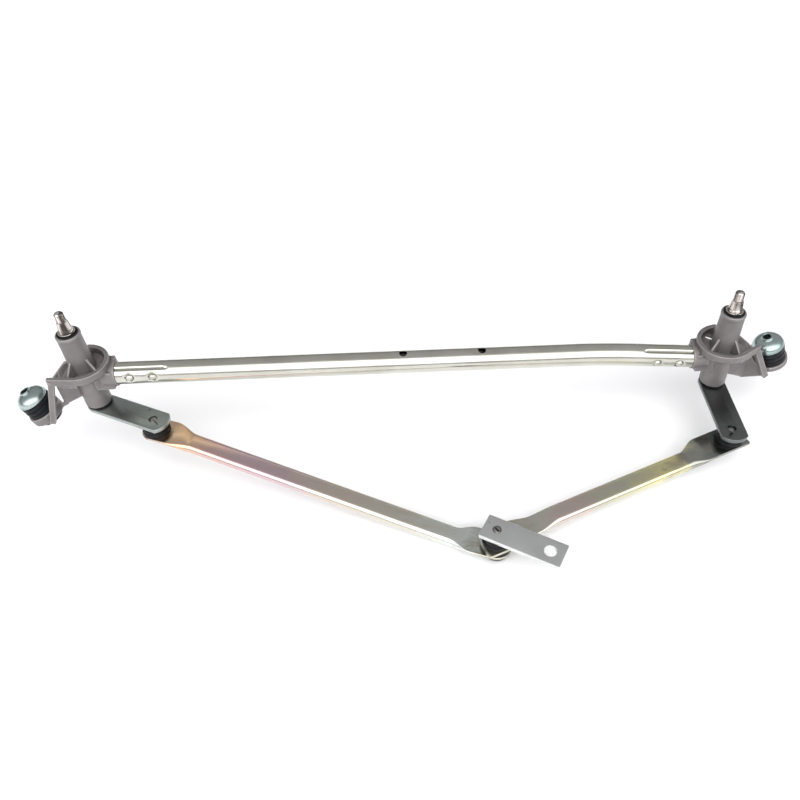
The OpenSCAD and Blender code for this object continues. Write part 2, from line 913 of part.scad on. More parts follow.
// Socket of the left rod on the stud's lower ball: the open pivot, a cup with play
module left_rod_inner_socket() {
    top = right_plate_z - cup_top_gap;
    bottom = lower_ball_z - lower_ball_r - cup_floor_gap;
    rim = left_plate_z + plate_thickness;
    color(black_colour)
        on_rod(-1)
            translate([left_rod_length, 0, 0])
                difference() {
                    union() {
                        translate([0, 0, rim])
                            cylinder(h = top - rim, r = open_cup_r + 2 * cup_wall);
                        translate([0, 0, bottom - cup_wall])
                            cylinder(h = top - bottom, r = open_cup_r + cup_wall);
                    }
                    translate([0, 0, bottom])
                        cylinder(h = top - bottom + over, r = open_cup_r);
                }
}

// Motor crank

module motor_crank() {
    color(crank_colour)
        on_crank()
            translate([0, 0, crank_bottom])
                difference() {
                    translate([-crank_overhang, -crank_width / 2, 0])
                        cube([crank_length + 2 * crank_overhang, crank_width, crank_thickness]);
                    translate([0, 0, -over])
                        cylinder(h = crank_thickness + 2 * over, r = neck_r);
                    translate([crank_length, 0, -over])
                        cylinder(h = crank_thickness + 2 * over, r = crank_hole_r);
                }
}

module crank_ball_stud() {
    color(steel_colour)
        on_crank() {
            translate([0, 0, upper_ball_z])
                sphere(upper_ball_r);
            translate([0, 0, lower_ball_z])
                sphere(lower_ball_r);
            translate([0, 0, lower_ball_z])
                cylinder(h = crank_bottom + crank_thickness - lower_ball_z, r = neck_r);
            translate([0, 0, crank_bottom + crank_thickness])
                cylinder(h = head_height, r1 = rivet_r, r2 = rivet_r - rivet_taper);
        }
}

frame_tube();
housing(-1);  // left_housing
housing(1);  // right_housing
bush(-1, boss_height - seal_height - bush_length);  // left_upper_bush
bush(1, boss_height - seal_height - bush_length);  // right_upper_bush
bush(-1, 0);  // left_lower_bush
bush(1, 0);  // right_lower_bush
seal_ring(-1);  // left_seal_ring
seal_ring(1);  // right_seal_ring
grommet(-1);  // left_grommet
grommet(1);  // right_grommet
mount_sleeve(-1);  // left_mount_sleeve
mount_sleeve(1);  // right_mount_sleeve
spindle(-1);  // left_spindle
spindle(1);  // right_spindle
lever(-1);  // left_lever
lever(1);  // right_lever
ball_stud(-1);  // left_ball_stud
ball_stud(1);  // right_ball_stud
circlip(-1);  // left_circlip
circlip(1);  // right_circlip
thrust_washer(-1);  // left_thrust_washer
thrust_washer(1);  // right_thrust_washer
left_rod();
right_rod();
outer_socket(-1);  // left_rod_outer_socket
outer_socket(1);  // right_rod_outer_socket
left_rod_inner_socket();
right_rod_inner_socket();
motor_crank();
crank_ball_stud();
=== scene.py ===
"""Looks of the wiper linkage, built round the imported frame. Lengths are millimetres until a mesh is made."""

import json
import math

import bmesh
import bpy
from mathutils import Matrix, Vector


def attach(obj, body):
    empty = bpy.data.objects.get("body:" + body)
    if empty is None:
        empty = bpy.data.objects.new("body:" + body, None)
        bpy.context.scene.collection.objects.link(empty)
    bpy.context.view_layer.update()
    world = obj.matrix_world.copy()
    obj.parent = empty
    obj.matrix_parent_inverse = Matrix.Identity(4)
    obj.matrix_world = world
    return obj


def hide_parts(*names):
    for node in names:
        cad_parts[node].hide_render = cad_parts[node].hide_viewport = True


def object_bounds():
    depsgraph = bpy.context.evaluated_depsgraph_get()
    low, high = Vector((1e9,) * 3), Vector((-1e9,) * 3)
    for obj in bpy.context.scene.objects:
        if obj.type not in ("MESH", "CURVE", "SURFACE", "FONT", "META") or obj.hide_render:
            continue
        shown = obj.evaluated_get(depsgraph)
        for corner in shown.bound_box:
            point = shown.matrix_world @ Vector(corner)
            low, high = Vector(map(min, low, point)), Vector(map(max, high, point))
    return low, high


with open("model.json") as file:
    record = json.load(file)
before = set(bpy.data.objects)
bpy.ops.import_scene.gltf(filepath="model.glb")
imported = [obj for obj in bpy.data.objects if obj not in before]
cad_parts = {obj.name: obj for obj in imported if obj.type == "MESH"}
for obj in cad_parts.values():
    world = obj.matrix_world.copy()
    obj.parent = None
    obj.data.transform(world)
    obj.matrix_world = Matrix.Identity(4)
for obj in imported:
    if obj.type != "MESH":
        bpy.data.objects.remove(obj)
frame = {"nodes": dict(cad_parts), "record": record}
cad_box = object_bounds()

MM = 0.001
SIDES = ("left", "right")
RECORD = frame["record"]
JOINTS = {j["name"]: j for j in RECORD["behaviour"]["joints"]}
MOUNTS = {m["name"]: m for m in RECORD["mounts"]}
FLAT = Matrix()
# A radius next to nothing, for outlines that reach the axis
ON_AXIS = 0.0001
# Edges sharper than this many degrees stay hard, where a piece states no other limit
SMOOTH_LIMIT = 35


# Places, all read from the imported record


def pivot(joint):
    return Vector(JOINTS[joint]["pos_m"]) / MM


def mount(name):
    return Vector(MOUNTS[name]["pos_m"]) / MM


def heading(start, end):
    return math.atan2(end.y - start.y, end.x - start.x)


def placed(origin, angle=0.0):
    return Matrix.Translation(origin) @ Matrix.Rotation(angle, 4, "Z")


def turned(degrees):
    return Matrix.Rotation(math.radians(degrees), 4, "Z")


STUD = pivot("crank_turn")
BOSS = {s: pivot(s + "_spindle_turn") for s in SIDES}
BALL = {s: pivot(s + "_rod_turn") for s in SIDES}
BASE = BOSS["left"].z
LEVER_FRAME = {s: placed(BOSS[s], heading(BOSS[s], BALL[s])) for s in SIDES}
ROD_FRAME = {s: placed((BALL[s].x, BALL[s].y, BASE), heading(BALL[s], STUD)) for s in SIDES}
ROD_LENGTH = {s: (STUD - BALL[s]).to_2d().length for s in SIDES}
CRANK_FRAME = placed((STUD.x, STUD.y, BASE), heading(STUD, mount("crank_shaft_hole")))
CRANK_LENGTH = (mount("crank_shaft_hole") - STUD).to_2d().length
DROP = BOSS["left"].z - BOSS["right"].z


def mount_frame(side):
    """Frame of a rubber mount, with its origin under the cap and Z along the leaning bolt."""
    axis = Vector(MOUNTS[side + "_mount_bore"]["axis"])
    lean = Matrix.Rotation(math.atan2(axis.x, axis.z), 4, "Y")
    return Matrix.Translation(mount(side + "_mount_bore")) @ lean


# Mesh making


def new_object(name, verts, faces, matrix):
    """Object in the scene, in metres, from points in millimetres."""
    mesh = bpy.data.meshes.new(name)
    mesh.from_pydata([(matrix @ Vector(v)) * MM for v in verts], [], faces)
    obj = bpy.data.objects.new(name, mesh)
    bpy.context.scene.collection.objects.link(obj)
    return obj


def make(name, verts, faces, matrix, body, slot, nodes, sharp=SMOOTH_LIMIT):
    """A closed mesh that rides on a body and takes the place of CAD nodes."""
    obj = new_object(name, verts, faces, matrix)
    finish_mesh(obj, sharp)
    obj.data.materials.append(MATERIALS[slot])
    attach(obj, body)
    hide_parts(*nodes)
    return obj


def finish_mesh(obj, sharp):
    """Merge double points and shade smooth, but for edges sharper than the angle."""
    bm = bmesh.new()
    bm.from_mesh(obj.data)
    bmesh.ops.remove_doubles(bm, verts=bm.verts, dist=1e-6)
    bmesh.ops.recalc_face_normals(bm, faces=bm.faces)
    for face in bm.faces:
        face.smooth = True
    for edge in bm.edges:
        edge.smooth = len(edge.link_faces) == 2 and edge.calc_face_angle() < math.radians(sharp)
    bm.to_mesh(obj.data)
    bm.free()


def bake_modifiers(obj):
    graph = bpy.context.evaluated_depsgraph_get()
    done = bpy.data.meshes.new_from_object(obj.evaluated_get(graph))
    obj.modifiers.clear()
    obj.data = done


def cut(obj, tools, sharp=SMOOTH_LIMIT):
    """Subtract tool meshes given as (verts, faces, matrix)."""
    for verts, faces, matrix in tools:
        tool = new_object("tool", verts, faces, matrix)
        finish_mesh(tool, sharp)
        mod = obj.modifiers.new("cut", "BOOLEAN")
        mod.object = tool
        mod.operation = "DIFFERENCE"
        mod.solver = "EXACT"
        bake_modifiers(obj)
        bpy.data.objects.remove(tool)
    finish_mesh(obj, sharp)


def circle(radius, count):
    angles = [2 * math.pi * k / count for k in range(count)]
    return [(radius * math.cos(a), radius * math.sin(a)) for a in angles]


def raised(points, z):
    return [(x, y, z) for x, y in points]


def fillet(points, steps=4):
    """Outline of (x, y, radius) corners, with each corner rounded."""
    out = []
    for i, (x, y, radius) in enumerate(points):
        here = Vector((x, y))
        before = Vector(points[i - 1][:2]) - here
        after = Vector(points[(i + 1) % len(points)][:2]) - here
        a, b = before.normalized(), after.normalized()
        half = a.angle(b, 0.0) / 2
        if radius <= 0 or half < 0.01:
            out.append((x, y))
            continue
        trim = min(radius / math.tan(half), 0.49 * before.length, 0.49 * after.length)
        for k in range(steps + 1):
            t = k / steps
            p = here + a * trim * (1 - t) ** 2 + b * trim * t ** 2
            out.append((p.x, p.y))
    return out


def skin(rings, joined):
    """Points and faces through rings of equal counts; joined runs on from the last ring to the first."""
    n = len(rings[0])
    verts = [p for ring in rings for p in ring]
    faces = []
    for k in range(len(rings) if joined else len(rings) - 1):
        m = (k + 1) % len(rings)
        for i in range(n):
            j = (i + 1) % n
            faces.append((k * n + i, k * n + j, m * n + j, m * n + i))
    return verts, faces


def loft(rings):
    """Closed solid through rings of equal point counts, capped at both ends."""
    verts, faces = skin(rings, False)
    n = len(rings[0])
    faces.append(tuple(reversed(range(n))))
    faces.append(tuple(range(len(verts) - n, len(verts))))
    return verts, faces


def lathe(profile, count=72):
    """Closed solid of revolution from a closed (radius, height) outline."""
    angles = [2 * math.pi * k / count for k in range(count)]
    return skin([[(r * math.cos(a), r * math.sin(a), z) for r, z in profile] for a in angles], True)


def sector(profile, start, end, count=60):
    """Part of a solid of revolution, from one angle to another in degrees."""
    angles = [math.radians(start + (end - start) * k / count) for k in range(count + 1)]
    return loft([[(r * math.cos(a), r * math.sin(a), z) for r, z in profile] for a in angles])


def upright(outline, width):
    """Profile of distance and height, set up along X and as wide as given across Y."""
    return loft([[(d, y, z) for d, z in outline] for y in (-width / 2, width / 2)])


def block(low, high):
    ring = [(low[0], low[1]), (high[0], low[1]), (high[0], high[1]), (low[0], high[1])]
    return loft([raised(ring, z) for z in (low[2], high[2])])


def drill(radius, low, high, count=40):
    ring = circle(radius, count)
    return loft([raised(ring, low), raised(ring, high)])


def slit(length, width, low, high):
    x, y = length / 2, width / 2
    ring = [(x, -y), (x, y), (-x, y), (-x, -y)]
    return loft([raised(ring, low), raised(ring, high)])


def inset(outline, d):
    """Convex outline moved inwards by d."""
    out = []
    n = len(outline)
    for i in range(n):
        p, q, r = (Vector(outline[(i + k - 1) % n]) for k in range(3))
        e1, e2 = (q - p).normalized(), (r - q).normalized()
        n1, n2 = Vector((-e1.y, e1.x)), Vector((-e2.y, e2.x))
        m = n1 + n2
        m = m / max(m.length_squared, 1e-9) * 2
        out.append(tuple(q + m * d))
    return out


def plate(outline, low, high, edge, steps=3):
    """Flat plate with rounded edges, from a convex outline that runs anticlockwise."""
    rings = []
    for k in range(steps + 1):
        a = math.pi / 2 * k / steps
        rings.append(raised(inset(outline, edge * (1 - math.cos(a))), low + edge * (1 - math.sin(a))))
    rings.reverse()
    upper = [[(x, y, low + high - z) for x, y, z in ring] for ring in reversed(rings)]
    return loft(rings + upper)


# Materials. The first three numbers are the places of the Mix node's colour sockets.

MIX_FIRST, MIX_SECOND, MIX_RESULT = 6, 7, 2
FINE_BUMP = 0.0002


def set_stops(ramp, stops):
    """Give a colour ramp node its stops of (place, colour)."""
    marks = ramp.color_ramp.elements
    while len(marks) < len(stops):
        marks.new(0.5)
    for mark, (at, colour) in zip(marks, stops):
        mark.position = at
        mark.color = (*colour, 1.0)


class Nodes:
    """A short way to build one material's nodes."""

    def __init__(self, name):
        self.material = bpy.data.materials.new(name)
        self.material.use_nodes = True
        self.tree = self.material.node_tree
        self.shader = self.tree.nodes["Principled BSDF"]
        self.place = self.new("TexCoord").outputs["Object"]

    def new(self, kind):
        return self.tree.nodes.new("ShaderNode" + kind)

    def link(self, a, b):
        self.tree.links.new(a, b)

    def set(self, **values):
        for key, value in values.items():
            self.shader.inputs[key.replace("_", " ")].default_value = value

    def stretched(self, scale, turn=0.0):
        node = self.new("Mapping")
        node.inputs["Scale"].default_value = scale
        node.inputs["Rotation"].default_value = (0, 0, turn)
        self.link(self.place, node.inputs["Vector"])
        return node.outputs["Vector"]

    def noise(self, scale, detail=3.0, rough=0.5, where=None):
        node = self.new("TexNoise")
        node.inputs["Scale"].default_value = scale
        node.inputs["Detail"].default_value = detail
        node.inputs["Roughness"].default_value = rough
        self.link(where or self.place, node.inputs["Vector"])
        return node.outputs["Fac"]

    def ramp(self, factor, stops):
        node = self.new("ValToRGB")
        set_stops(node, stops)
        self.link(factor, node.inputs["Fac"])
        return node.outputs["Color"]

    def span(self, factor, low, high, start=0.3, end=0.7):
        """Low to high as the factor goes from start to end."""
        node = self.new("MapRange")
        node.inputs["From Min"].default_value = start
        node.inputs["From Max"].default_value = end
        node.inputs["To Min"].default_value = low
        node.inputs["To Max"].default_value = high
        self.link(factor, node.inputs["Value"])
        return node.outputs["Result"]

    def drift(self, start, end, noise, amount):
        """Zero to one along X between two places, in metres, stirred by noise."""
        split = self.new("SeparateXYZ")
        self.link(self.place, split.inputs["Vector"])
        node = self.new("Math")
        self.link(self.span(split.outputs["X"], 0.0, 1.0, start, end), node.inputs[0])
        self.link(self.span(noise, -amount / 2, amount / 2), node.inputs[1])
        return node.outputs["Value"]

    def mixed(self, factor, first, second):
        """First output turning into a fixed second colour as the factor goes to one."""
        node = self.new("Mix")
        node.data_type = "RGBA"
        self.link(factor, node.inputs["Factor"])
        self.link(first, node.inputs[MIX_FIRST])
        node.inputs[MIX_SECOND].default_value = (*second, 1.0)
        return node.outputs[MIX_RESULT]

    def colour(self, output):
        self.link(output, self.shader.inputs["Base Color"])

    def roughness(self, output):
        self.link(output, self.shader.inputs["Roughness"])

    def bump(self, height, strength, distance=FINE_BUMP):
        node = self.new("Bump")
        node.inputs["Strength"].default_value = strength
        node.inputs["Distance"].default_value = distance
        self.link(height, node.inputs["Height"])
        self.link(node.outputs["Normal"], self.shader.inputs["Normal"])

    def drawn(self, grain, low, high, bump):
        """Fine lines in the roughness and the surface, drawn out by the scale along each axis."""
        lines = self.noise(1.0, 3, 0.6, self.stretched(grain))
        self.roughness(self.span(lines, low, high))
        self.bump(lines, bump)


def cast_aluminium():
    """Die-cast skin: fine grain, faint flow patches, edges rubbed lighter, and painted shade that darkens the
    concave corners.
    """
    m = Nodes("cast_aluminium")
    m.set(Metallic=0.45, Specular_IOR_Level=0.6)
    skin_tone = m.ramp(m.noise(60, 4), [(0.3, (0.160, 0.146, 0.146)), (0.7, (0.215, 0.198, 0.196))])
    shape = m.new("NewGeometry").outputs["Pointiness"]
    worn = m.mixed(m.span(shape, 0.0, 1.0, 0.50, 0.60), skin_tone, (0.52, 0.48, 0.47))
    # Painted shade: concave corners, where Pointiness is low, turn nearly black
    m.colour(m.mixed(m.span(shape, 0.8, 0.0, 0.455, 0.494), worn, (0.05, 0.045, 0.045)))
    m.roughness(m.span(m.noise(300, 3), 0.38, 0.54))
    m.bump(m.noise(900, 4, 0.6), 0.25, 0.0004)
    return m.material


def plated(name, low, high, rough, grain, bump=0.06):
    """Plated or sintered metal with an even grain and faint patches."""
    m = Nodes(name)
    m.set(Metallic=1.0)
    m.colour(m.ramp(m.noise(35, 4), [(0.3, low), (0.7, high)]))
    m.drawn((grain, grain, grain), rough - 0.05, rough + 0.07, bump)
    return m.material


def tube_steel():
    """Plated tube drawn along X, dull, with painted shade that makes it dark on the inside."""
    m = Nodes("tube_zinc")
    m.set(Metallic=1.0)
    zinc = m.ramp(m.noise(35, 4), [(0.3, (0.58, 0.57, 0.50)), (0.7, (0.68, 0.67, 0.61))])
    side = m.new("Attribute")
    side.attribute_name = "inside"
    # Painted shade: the inside of the tube is coloured nearly black
    m.colour(m.mixed(side.outputs["Fac"], zinc, (0.035, 0.033, 0.03)))
    m.drawn((8, 300, 300), 0.15, 0.26, 0.06)
    return m.material


def spindle_steel():
    """Ground steel with dark and bright streaks of painted reflection along the shaft."""
    m = Nodes("spindle_steel")
    m.set(Metallic=1.0)
    # Painted reflection: streaks along the shaft from near black to bright stand in for the mirrored
    # surroundings
    painted_reflection_streaks = m.noise(1.0, 2, 0.5, m.stretched((230, 230, 14)))
    m.colour(m.ramp(painted_reflection_streaks, [
        (0.40, (0.07, 0.06, 0.055)), (0.50, (0.34, 0.30, 0.275)), (0.60, (0.78, 0.74, 0.70))]))
    m.roughness(m.span(painted_reflection_streaks, 0.16, 0.28))
    m.bump(m.noise(1.0, 3, 0.6, m.stretched((300, 300, 30))), 0.06)
    return m.material


def passivated():
    """Zinc with the tan, mauve and yellow film of chromate passivation, which drifts along the rods."""
    m = Nodes("rod_passivate")
    m.set(Metallic=1.0)
    clouds = m.noise(30.0, 4, 0.6, m.stretched((1.0, 2.2, 2.2), 0.35))
    m.colour(m.ramp(m.drift(0.08, 0.64, clouds, 0.07), [
        (0.02, (0.60, 0.50, 0.44)), (0.09, (0.82, 0.58, 0.38)), (0.135, (0.72, 0.50, 0.47)),
        (0.22, (0.68, 0.52, 0.56)), (0.32, (0.70, 0.62, 0.54)), (0.43, (0.70, 0.67, 0.58)),
        (0.51, (0.80, 0.85, 0.81)), (0.56, (0.48, 0.46, 0.38)), (0.62, (0.66, 0.65, 0.57)),
        (0.68, (0.70, 0.58, 0.53)), (0.74, (0.62, 0.61, 0.49)), (0.84, (0.84, 0.78, 0.44)),
        (0.875, (0.42, 0.42, 0.37)), (0.93, (0.30, 0.31, 0.29))]))
    m.drawn((20, 260, 260), 0.17, 0.27, 0.05)
    return m.material


def lever_zinc():
    """Rolled, plated plate with painted shade that darkens it towards the right-hand lever."""
    m = Nodes("lever_zinc")
    m.set(Metallic=1.0)
    # Painted shade: the colour darkens along X towards the right-hand lever
    m.colour(m.ramp(m.drift(0.0, 0.66, m.noise(70, 4), 0.3), [
        (0.1, (0.36, 0.40, 0.38)), (0.9, (0.17, 0.185, 0.18))]))
    grain = m.noise(450, 4, 0.7)
    m.roughness(m.span(grain, 0.28, 0.40))
    m.bump(grain, 0.12)
    return m.material


def black(name, rough, grain):
    """Rubber or plastic with faint lighter patches and a fine grain."""
    m = Nodes(name)
    m.set(Specular_IOR_Level=0.18)
    m.colour(m.ramp(m.noise(180, 3), [(0.35, (0.006, 0.0065, 0.008)), (0.7, (0.012, 0.013, 0.016))]))
    m.roughness(m.span(m.noise(420, 2), rough - 0.07, rough + 0.08))
    m.bump(m.noise(grain, 3), 0.2, 0.0003)
    return m.material


MATERIALS = {
    "cast_aluminium": cast_aluminium(),
    "tube_zinc": tube_steel(),
    "rod_passivate": passivated(),
    "lever_zinc": lever_zinc(),
    "crank_steel": plated("crank_steel", (0.70, 0.71, 0.70), (0.80, 0.81, 0.80), 0.34, 60),
    "spindle_steel": spindle_steel(),
    "stud_steel": plated("stud_steel", (0.34, 0.33, 0.32), (0.50, 0.48, 0.46), 0.34, 90),
    "clip_steel": plated("clip_steel", (0.50, 0.46, 0.40), (0.66, 0.61, 0.55), 0.18, 90),
    "cap_zinc": plated("cap_zinc", (0.36, 0.45, 0.44), (0.56, 0.64, 0.62), 0.28, 40, 0.25),
    "bronze": plated("bronze", (0.38, 0.27, 0.14), (0.50, 0.37, 0.20), 0.45, 90),
    "rubber_black": black("rubber_black", 0.42, 700),
    "seal_black": black("seal_black", 0.50, 700),
    "washer_black": black("washer_black", 0.45, 700),
    "socket_plastic": black("socket_plastic", 0.38, 500),
}


# Housings: castings joined from their solids, then rounded at every edge and corner. Their heights count
# from the boss's foot, and the mounts' heights from under the cap.

BOSS_BORE = 7.79
BOSS_TOP = 79
CUP_R = 22.0
WALL = 2.6
RIM = 46.5
FLOOR = 38.0
LIP = 1.2
BAND_LOW = RIM - 7.0
TUBE_HEIGHT = 31.0
TUBE_REACH = 27
COLLAR_R = 11.2
SEAT_R = 15
SEAT_BORE = 11
RUBBER_ROOM = 13.8
RING_LOW = -21.0
RING_TOP = {"left": -13.0, "right": -16.0}
WALL_TURN = {"left": 6.0, "right": 30.0}
WALL_REACH = {"left": 23.0, "right": 20.0}
WEB_EDGE = {"left": 28.5, "right": 33.0}
WEB_LOW = {"left": (9.0, 2.5), "right": (4.5, -6.3)}
POST_FOOT = {"left": Vector((-8, -13, 2)), "right": Vector((-9, -14, -5))}
POST_LOW, POST_HIGH = (-2.5, -3), (2.5, 3)
FACET_TOP, FACET_HALF = 22, 1.2
RIB_ANGLES = (100, 215, 296)
RIB_WIDTH = 2.0
SLOT_PLACE = Matrix.Translation((-8, 12.8, 0)) @ turned(-37)
SLOT_LENGTH, SLOT_WIDTH = 6.0, 4.5
VOXEL = 0.5
KEPT_SHARE = 0.35
CAST_SHARP = 60
BOSS_OUTLINE = [(BOSS_BORE - 1, 0), (11.0, 0), (11.4, 0.5), (10.05, 75.2), (10.5, 76.2), (10.5, 78.4),
                (9.9, BOSS_TOP), (BOSS_BORE - 1, BOSS_TOP)]
FLOOR_OUTLINE = [(9, FLOOR), (CUP_R - 0.5, FLOOR), (CUP_R - 0.5, FLOOR + WALL), (9, FLOOR + WALL)]
BAND_OUTLINE = [(CUP_R - WALL, FLOOR + 1), (CUP_R - 0.6, FLOOR), (CUP_R, BAND_LOW),
                (CUP_R + LIP, BAND_LOW + 0.8), (CUP_R + LIP, RIM), (CUP_R - WALL, RIM)]
RIB_OUTLINE = [(9, FLOOR + 1), (20.7, FLOOR + 1), (20.7, FLOOR + 4), (11.2, FLOOR + 16), (9, FLOOR + 16)]


def dish(side, seat_turn):
    """Boss, floor, round band, front wall and ribs."""
    turn, reach = WALL_TURN[side], WALL_REACH[side]
    wall = turned(turn)
    solids = [(*lathe(BOSS_OUTLINE), FLAT),
              (*sector(FLOOR_OUTLINE, 90, 365 + seat_turn), FLAT),
              (*sector(BAND_OUTLINE, 90, 271 + turn), FLAT),
              (*block((-1, -CUP_R - LIP, BAND_LOW), (reach, -CUP_R + WALL, RIM)), wall),
              (*block((-1, -CUP_R, FLOOR - 2), (reach - 8, -CUP_R + WALL, RIM - 1)), wall)]
    return solids + [(*upright(RIB_OUTLINE, RIB_WIDTH), turned(angle)) for angle in RIB_ANGLES]


def back_web(side, seat, seat_turn, seat_z):
    """Upright web towards the seat, the strip from it down to the ring, and the floor in front of it."""
    edge, reach = WEB_EDGE[side], WALL_REACH[side]
    low_in, low_out = WEB_LOW[side]
    far, wall = turned(seat_turn), turned(WALL_TURN[side])
    out = seat.to_2d().length - SEAT_R + WALL
    web = [(8.6, low_in), (11.4, low_in), (edge, low_out), (edge, 63.2 - edge), (13.8, 49.5), (8.6, 50.5)]
    strip = [(edge - 3, low_out), (out, seat_z), (out, seat_z + 2.5), (edge - 3, low_out + 6)]
    corners = [far @ Vector((10, 0, 45)), far @ Vector((edge - 1, 0, 61 - edge)),
               wall @ Vector((reach - 7, -CUP_R + 1.5, FLOOR + 1)),
               wall @ Vector((0, -CUP_R + 1.5, FLOOR + 1))]
    shelf = loft([[tuple(c - Vector((0, 0, d))) for c in corners] for d in (2, 0)])
    return [(*upright(web, WALL), far), (*upright(strip, WALL), far), (*shelf, FLAT)]


def tube_block():
    """Block under the dish, the collar round the tube's end and the gusset beside it."""
    collar = [[(x, y, TUBE_HEIGHT + z) for y, z in circle(COLLAR_R, 48)] for x in (-TUBE_REACH, -14)]
    return [(*block((-24.4, -10, 21), (-8, 10, FLOOR + 1.3)), FLAT),
            (*loft(collar), FLAT),
            (*block((-25.5, 0, TUBE_HEIGHT), (-16, 11, TUBE_HEIGHT + 11)), FLAT)]


def post_and_seat(side, seat, seat_turn, seat_frame):
    """Post from the wall's end to the seat ring, and the ring; on the right a facet joins post and web."""
    top = turned(WALL_TURN[side]) @ Vector((WALL_REACH[side] - 3, -CUP_R + WALL / 2, (RIM + BAND_LOW) / 2))
    foot = seat + POST_FOOT[side]
    solids = []
    if side == "right":
        x, low = WEB_EDGE[side] - 1, WEB_LOW[side][1]
        facet = [turned(seat_turn) @ Vector((x, 0, z)) for z in (FACET_TOP, low)] + [foot]
        offsets = [Vector((0, d, 0)) for d in (-FACET_HALF, FACET_HALF)]
        solids.append((*loft([[tuple(c + offset) for c in facet] for offset in offsets]), FLAT))
    down = foot - top
    post = (Matrix.Translation(top) @ Matrix.Rotation(math.atan2(down.y, down.x), 4, "Z")
            @ Matrix.Rotation(math.atan2(down.to_2d().length, down.z), 4, "Y"))
    solids.append((*block((*POST_LOW, 0), (*POST_HIGH, down.length)), post))
    low, high = RING_LOW, RING_TOP[side]
    solids.append((*lathe([(9, low), (SEAT_R, low), (SEAT_R, high), (9, high)]), seat_frame))
    return solids


def casting_solids(side, here):
    """The housing's solids in its own frame, where X runs outwards from the boss."""
    seat_frame = here.inverted() @ mount_frame(side)
    seat = seat_frame @ Vector((0, 0, RING_LOW))
    seat_turn = math.degrees(math.atan2(seat.y, seat.x))
    lean = seat_frame.to_3x3() @ Vector((0, 0, 1))
    return (dish(side, seat_turn) + back_web(side, seat, seat_turn, seat.z + SEAT_R * lean.x)
            + tube_block() + post_and_seat(side, seat, seat_turn, seat_frame))


def casting(side):
    """A housing: its solids joined by a voxel remesh, softened and thinned, then bored."""
    mirror = Matrix.Diagonal((-1, 1, 1, 1)) if side == "left" else Matrix()
    here = placed(BOSS[side]) @ mirror
    verts, faces = [], []
    for part_verts, part_faces, matrix in casting_solids(side, here):
        faces += [tuple(i + len(verts) for i in face) for face in part_faces]
        verts += [matrix @ Vector(v) for v in part_verts]
    obj = make(side + "_casting", verts, faces, here, "frame", "cast_aluminium", [side + "_housing"])
    remesh = obj.modifiers.new("remesh", "REMESH")
    remesh.mode = "VOXEL"
    remesh.voxel_size = VOXEL * MM
    soften = obj.modifiers.new("soften", "SMOOTH")
    soften.factor = 0.5
    soften.iterations = 4
    thin = obj.modifiers.new("thin", "DECIMATE")
    thin.ratio = KEPT_SHARE
    bake_modifiers(obj)
    top = RING_TOP[side]
    room = [(ON_AXIS, -40), (RUBBER_ROOM, -40), (RUBBER_ROOM, RING_LOW), (SEAT_BORE, RING_LOW),
            (SEAT_BORE, top), (RUBBER_ROOM, top), (RUBBER_ROOM, 20), (ON_AXIS, 20)]
    tools = [(*drill(BOSS_BORE, -5, 90, 64), placed(BOSS[side])), (*lathe(room), mount_frame(side))]
    if side == "right":
        tools.append((*slit(SLOT_LENGTH, SLOT_WIDTH, FLOOR - 5, FLOOR + 5), here @ SLOT_PLACE))
    cut(obj, tools, CAST_SHARP)


# Frame tube: two straight runs with a long soft bend between them

TUBE_R = 10
TUBE_BORE = 8.5
TUBE_COUNT = 120
TUBE_START = BOSS["left"] + Vector((TUBE_REACH, 0, TUBE_HEIGHT))
TUBE_END = BOSS["right"] + Vector((-TUBE_REACH, 0, TUBE_HEIGHT))
TUBE_LENGTH = TUBE_END.x - TUBE_START.x
BEND_X = BOSS["left"].x + 455
BEND_RISE = 5.7
BEND_HALF = 24.0
BEND_SHARE = (BEND_X - TUBE_START.x) / TUBE_LENGTH
BEND = Vector((BEND_X, TUBE_START.y, TUBE_START.z + BEND_SHARE * (TUBE_END.z - TUBE_START.z) + BEND_RISE))
SLOPE_LEFT = (BEND.z - TUBE_START.z) / (BEND.x - TUBE_START.x)
SLOPE_RIGHT = (TUBE_END.z - BEND.z) / (TUBE_END.x - BEND.x)
MARKED = 60
GROOVE_ANGLE = math.radians(31)
GROOVE_HALF, GROOVE_DEPTH, GROOVE_LIP = 1.5, 1.0, 0.3
GROOVE_END, GROOVE_FADE = 46, 4
STAKES = (12, 32)
STAKE_ANGLE = {"left": math.radians(80), "right": math.radians(102)}
STAKE_DEPTH, STAKE_R, STAKE_WIDTH, STAKE_REACH = 1.3, 3.5, 0.85, 6.0
BUTTON_HEIGHT, BUTTON_WIDTH = 0.5, 1.9
FINE_STEP, FINE_COUNT = 0.7, 76
PLAIN_COUNT, INNER_COUNT = 70, 24
HOLE_MARGIN, HOLE_STEP = 7, 0.5
INSIDE_MARGIN = 0.3


def tube_centre(x):
    """Height and slope of the tube's centre line."""
    u = x - BEND.x
    if u <= -BEND_HALF:
        return BEND.z + SLOPE_LEFT * u, SLOPE_LEFT
    if u >= BEND_HALF:
        return BEND.z + SLOPE_RIGHT * u, SLOPE_RIGHT
    t = (u + BEND_HALF) / (2 * BEND_HALF)
    change = SLOPE_RIGHT - SLOPE_LEFT
    z = BEND.z - SLOPE_LEFT * BEND_HALF + 2 * BEND_HALF * (SLOPE_LEFT * t + change * t * t / 2)
    return z, SLOPE_LEFT + change * t


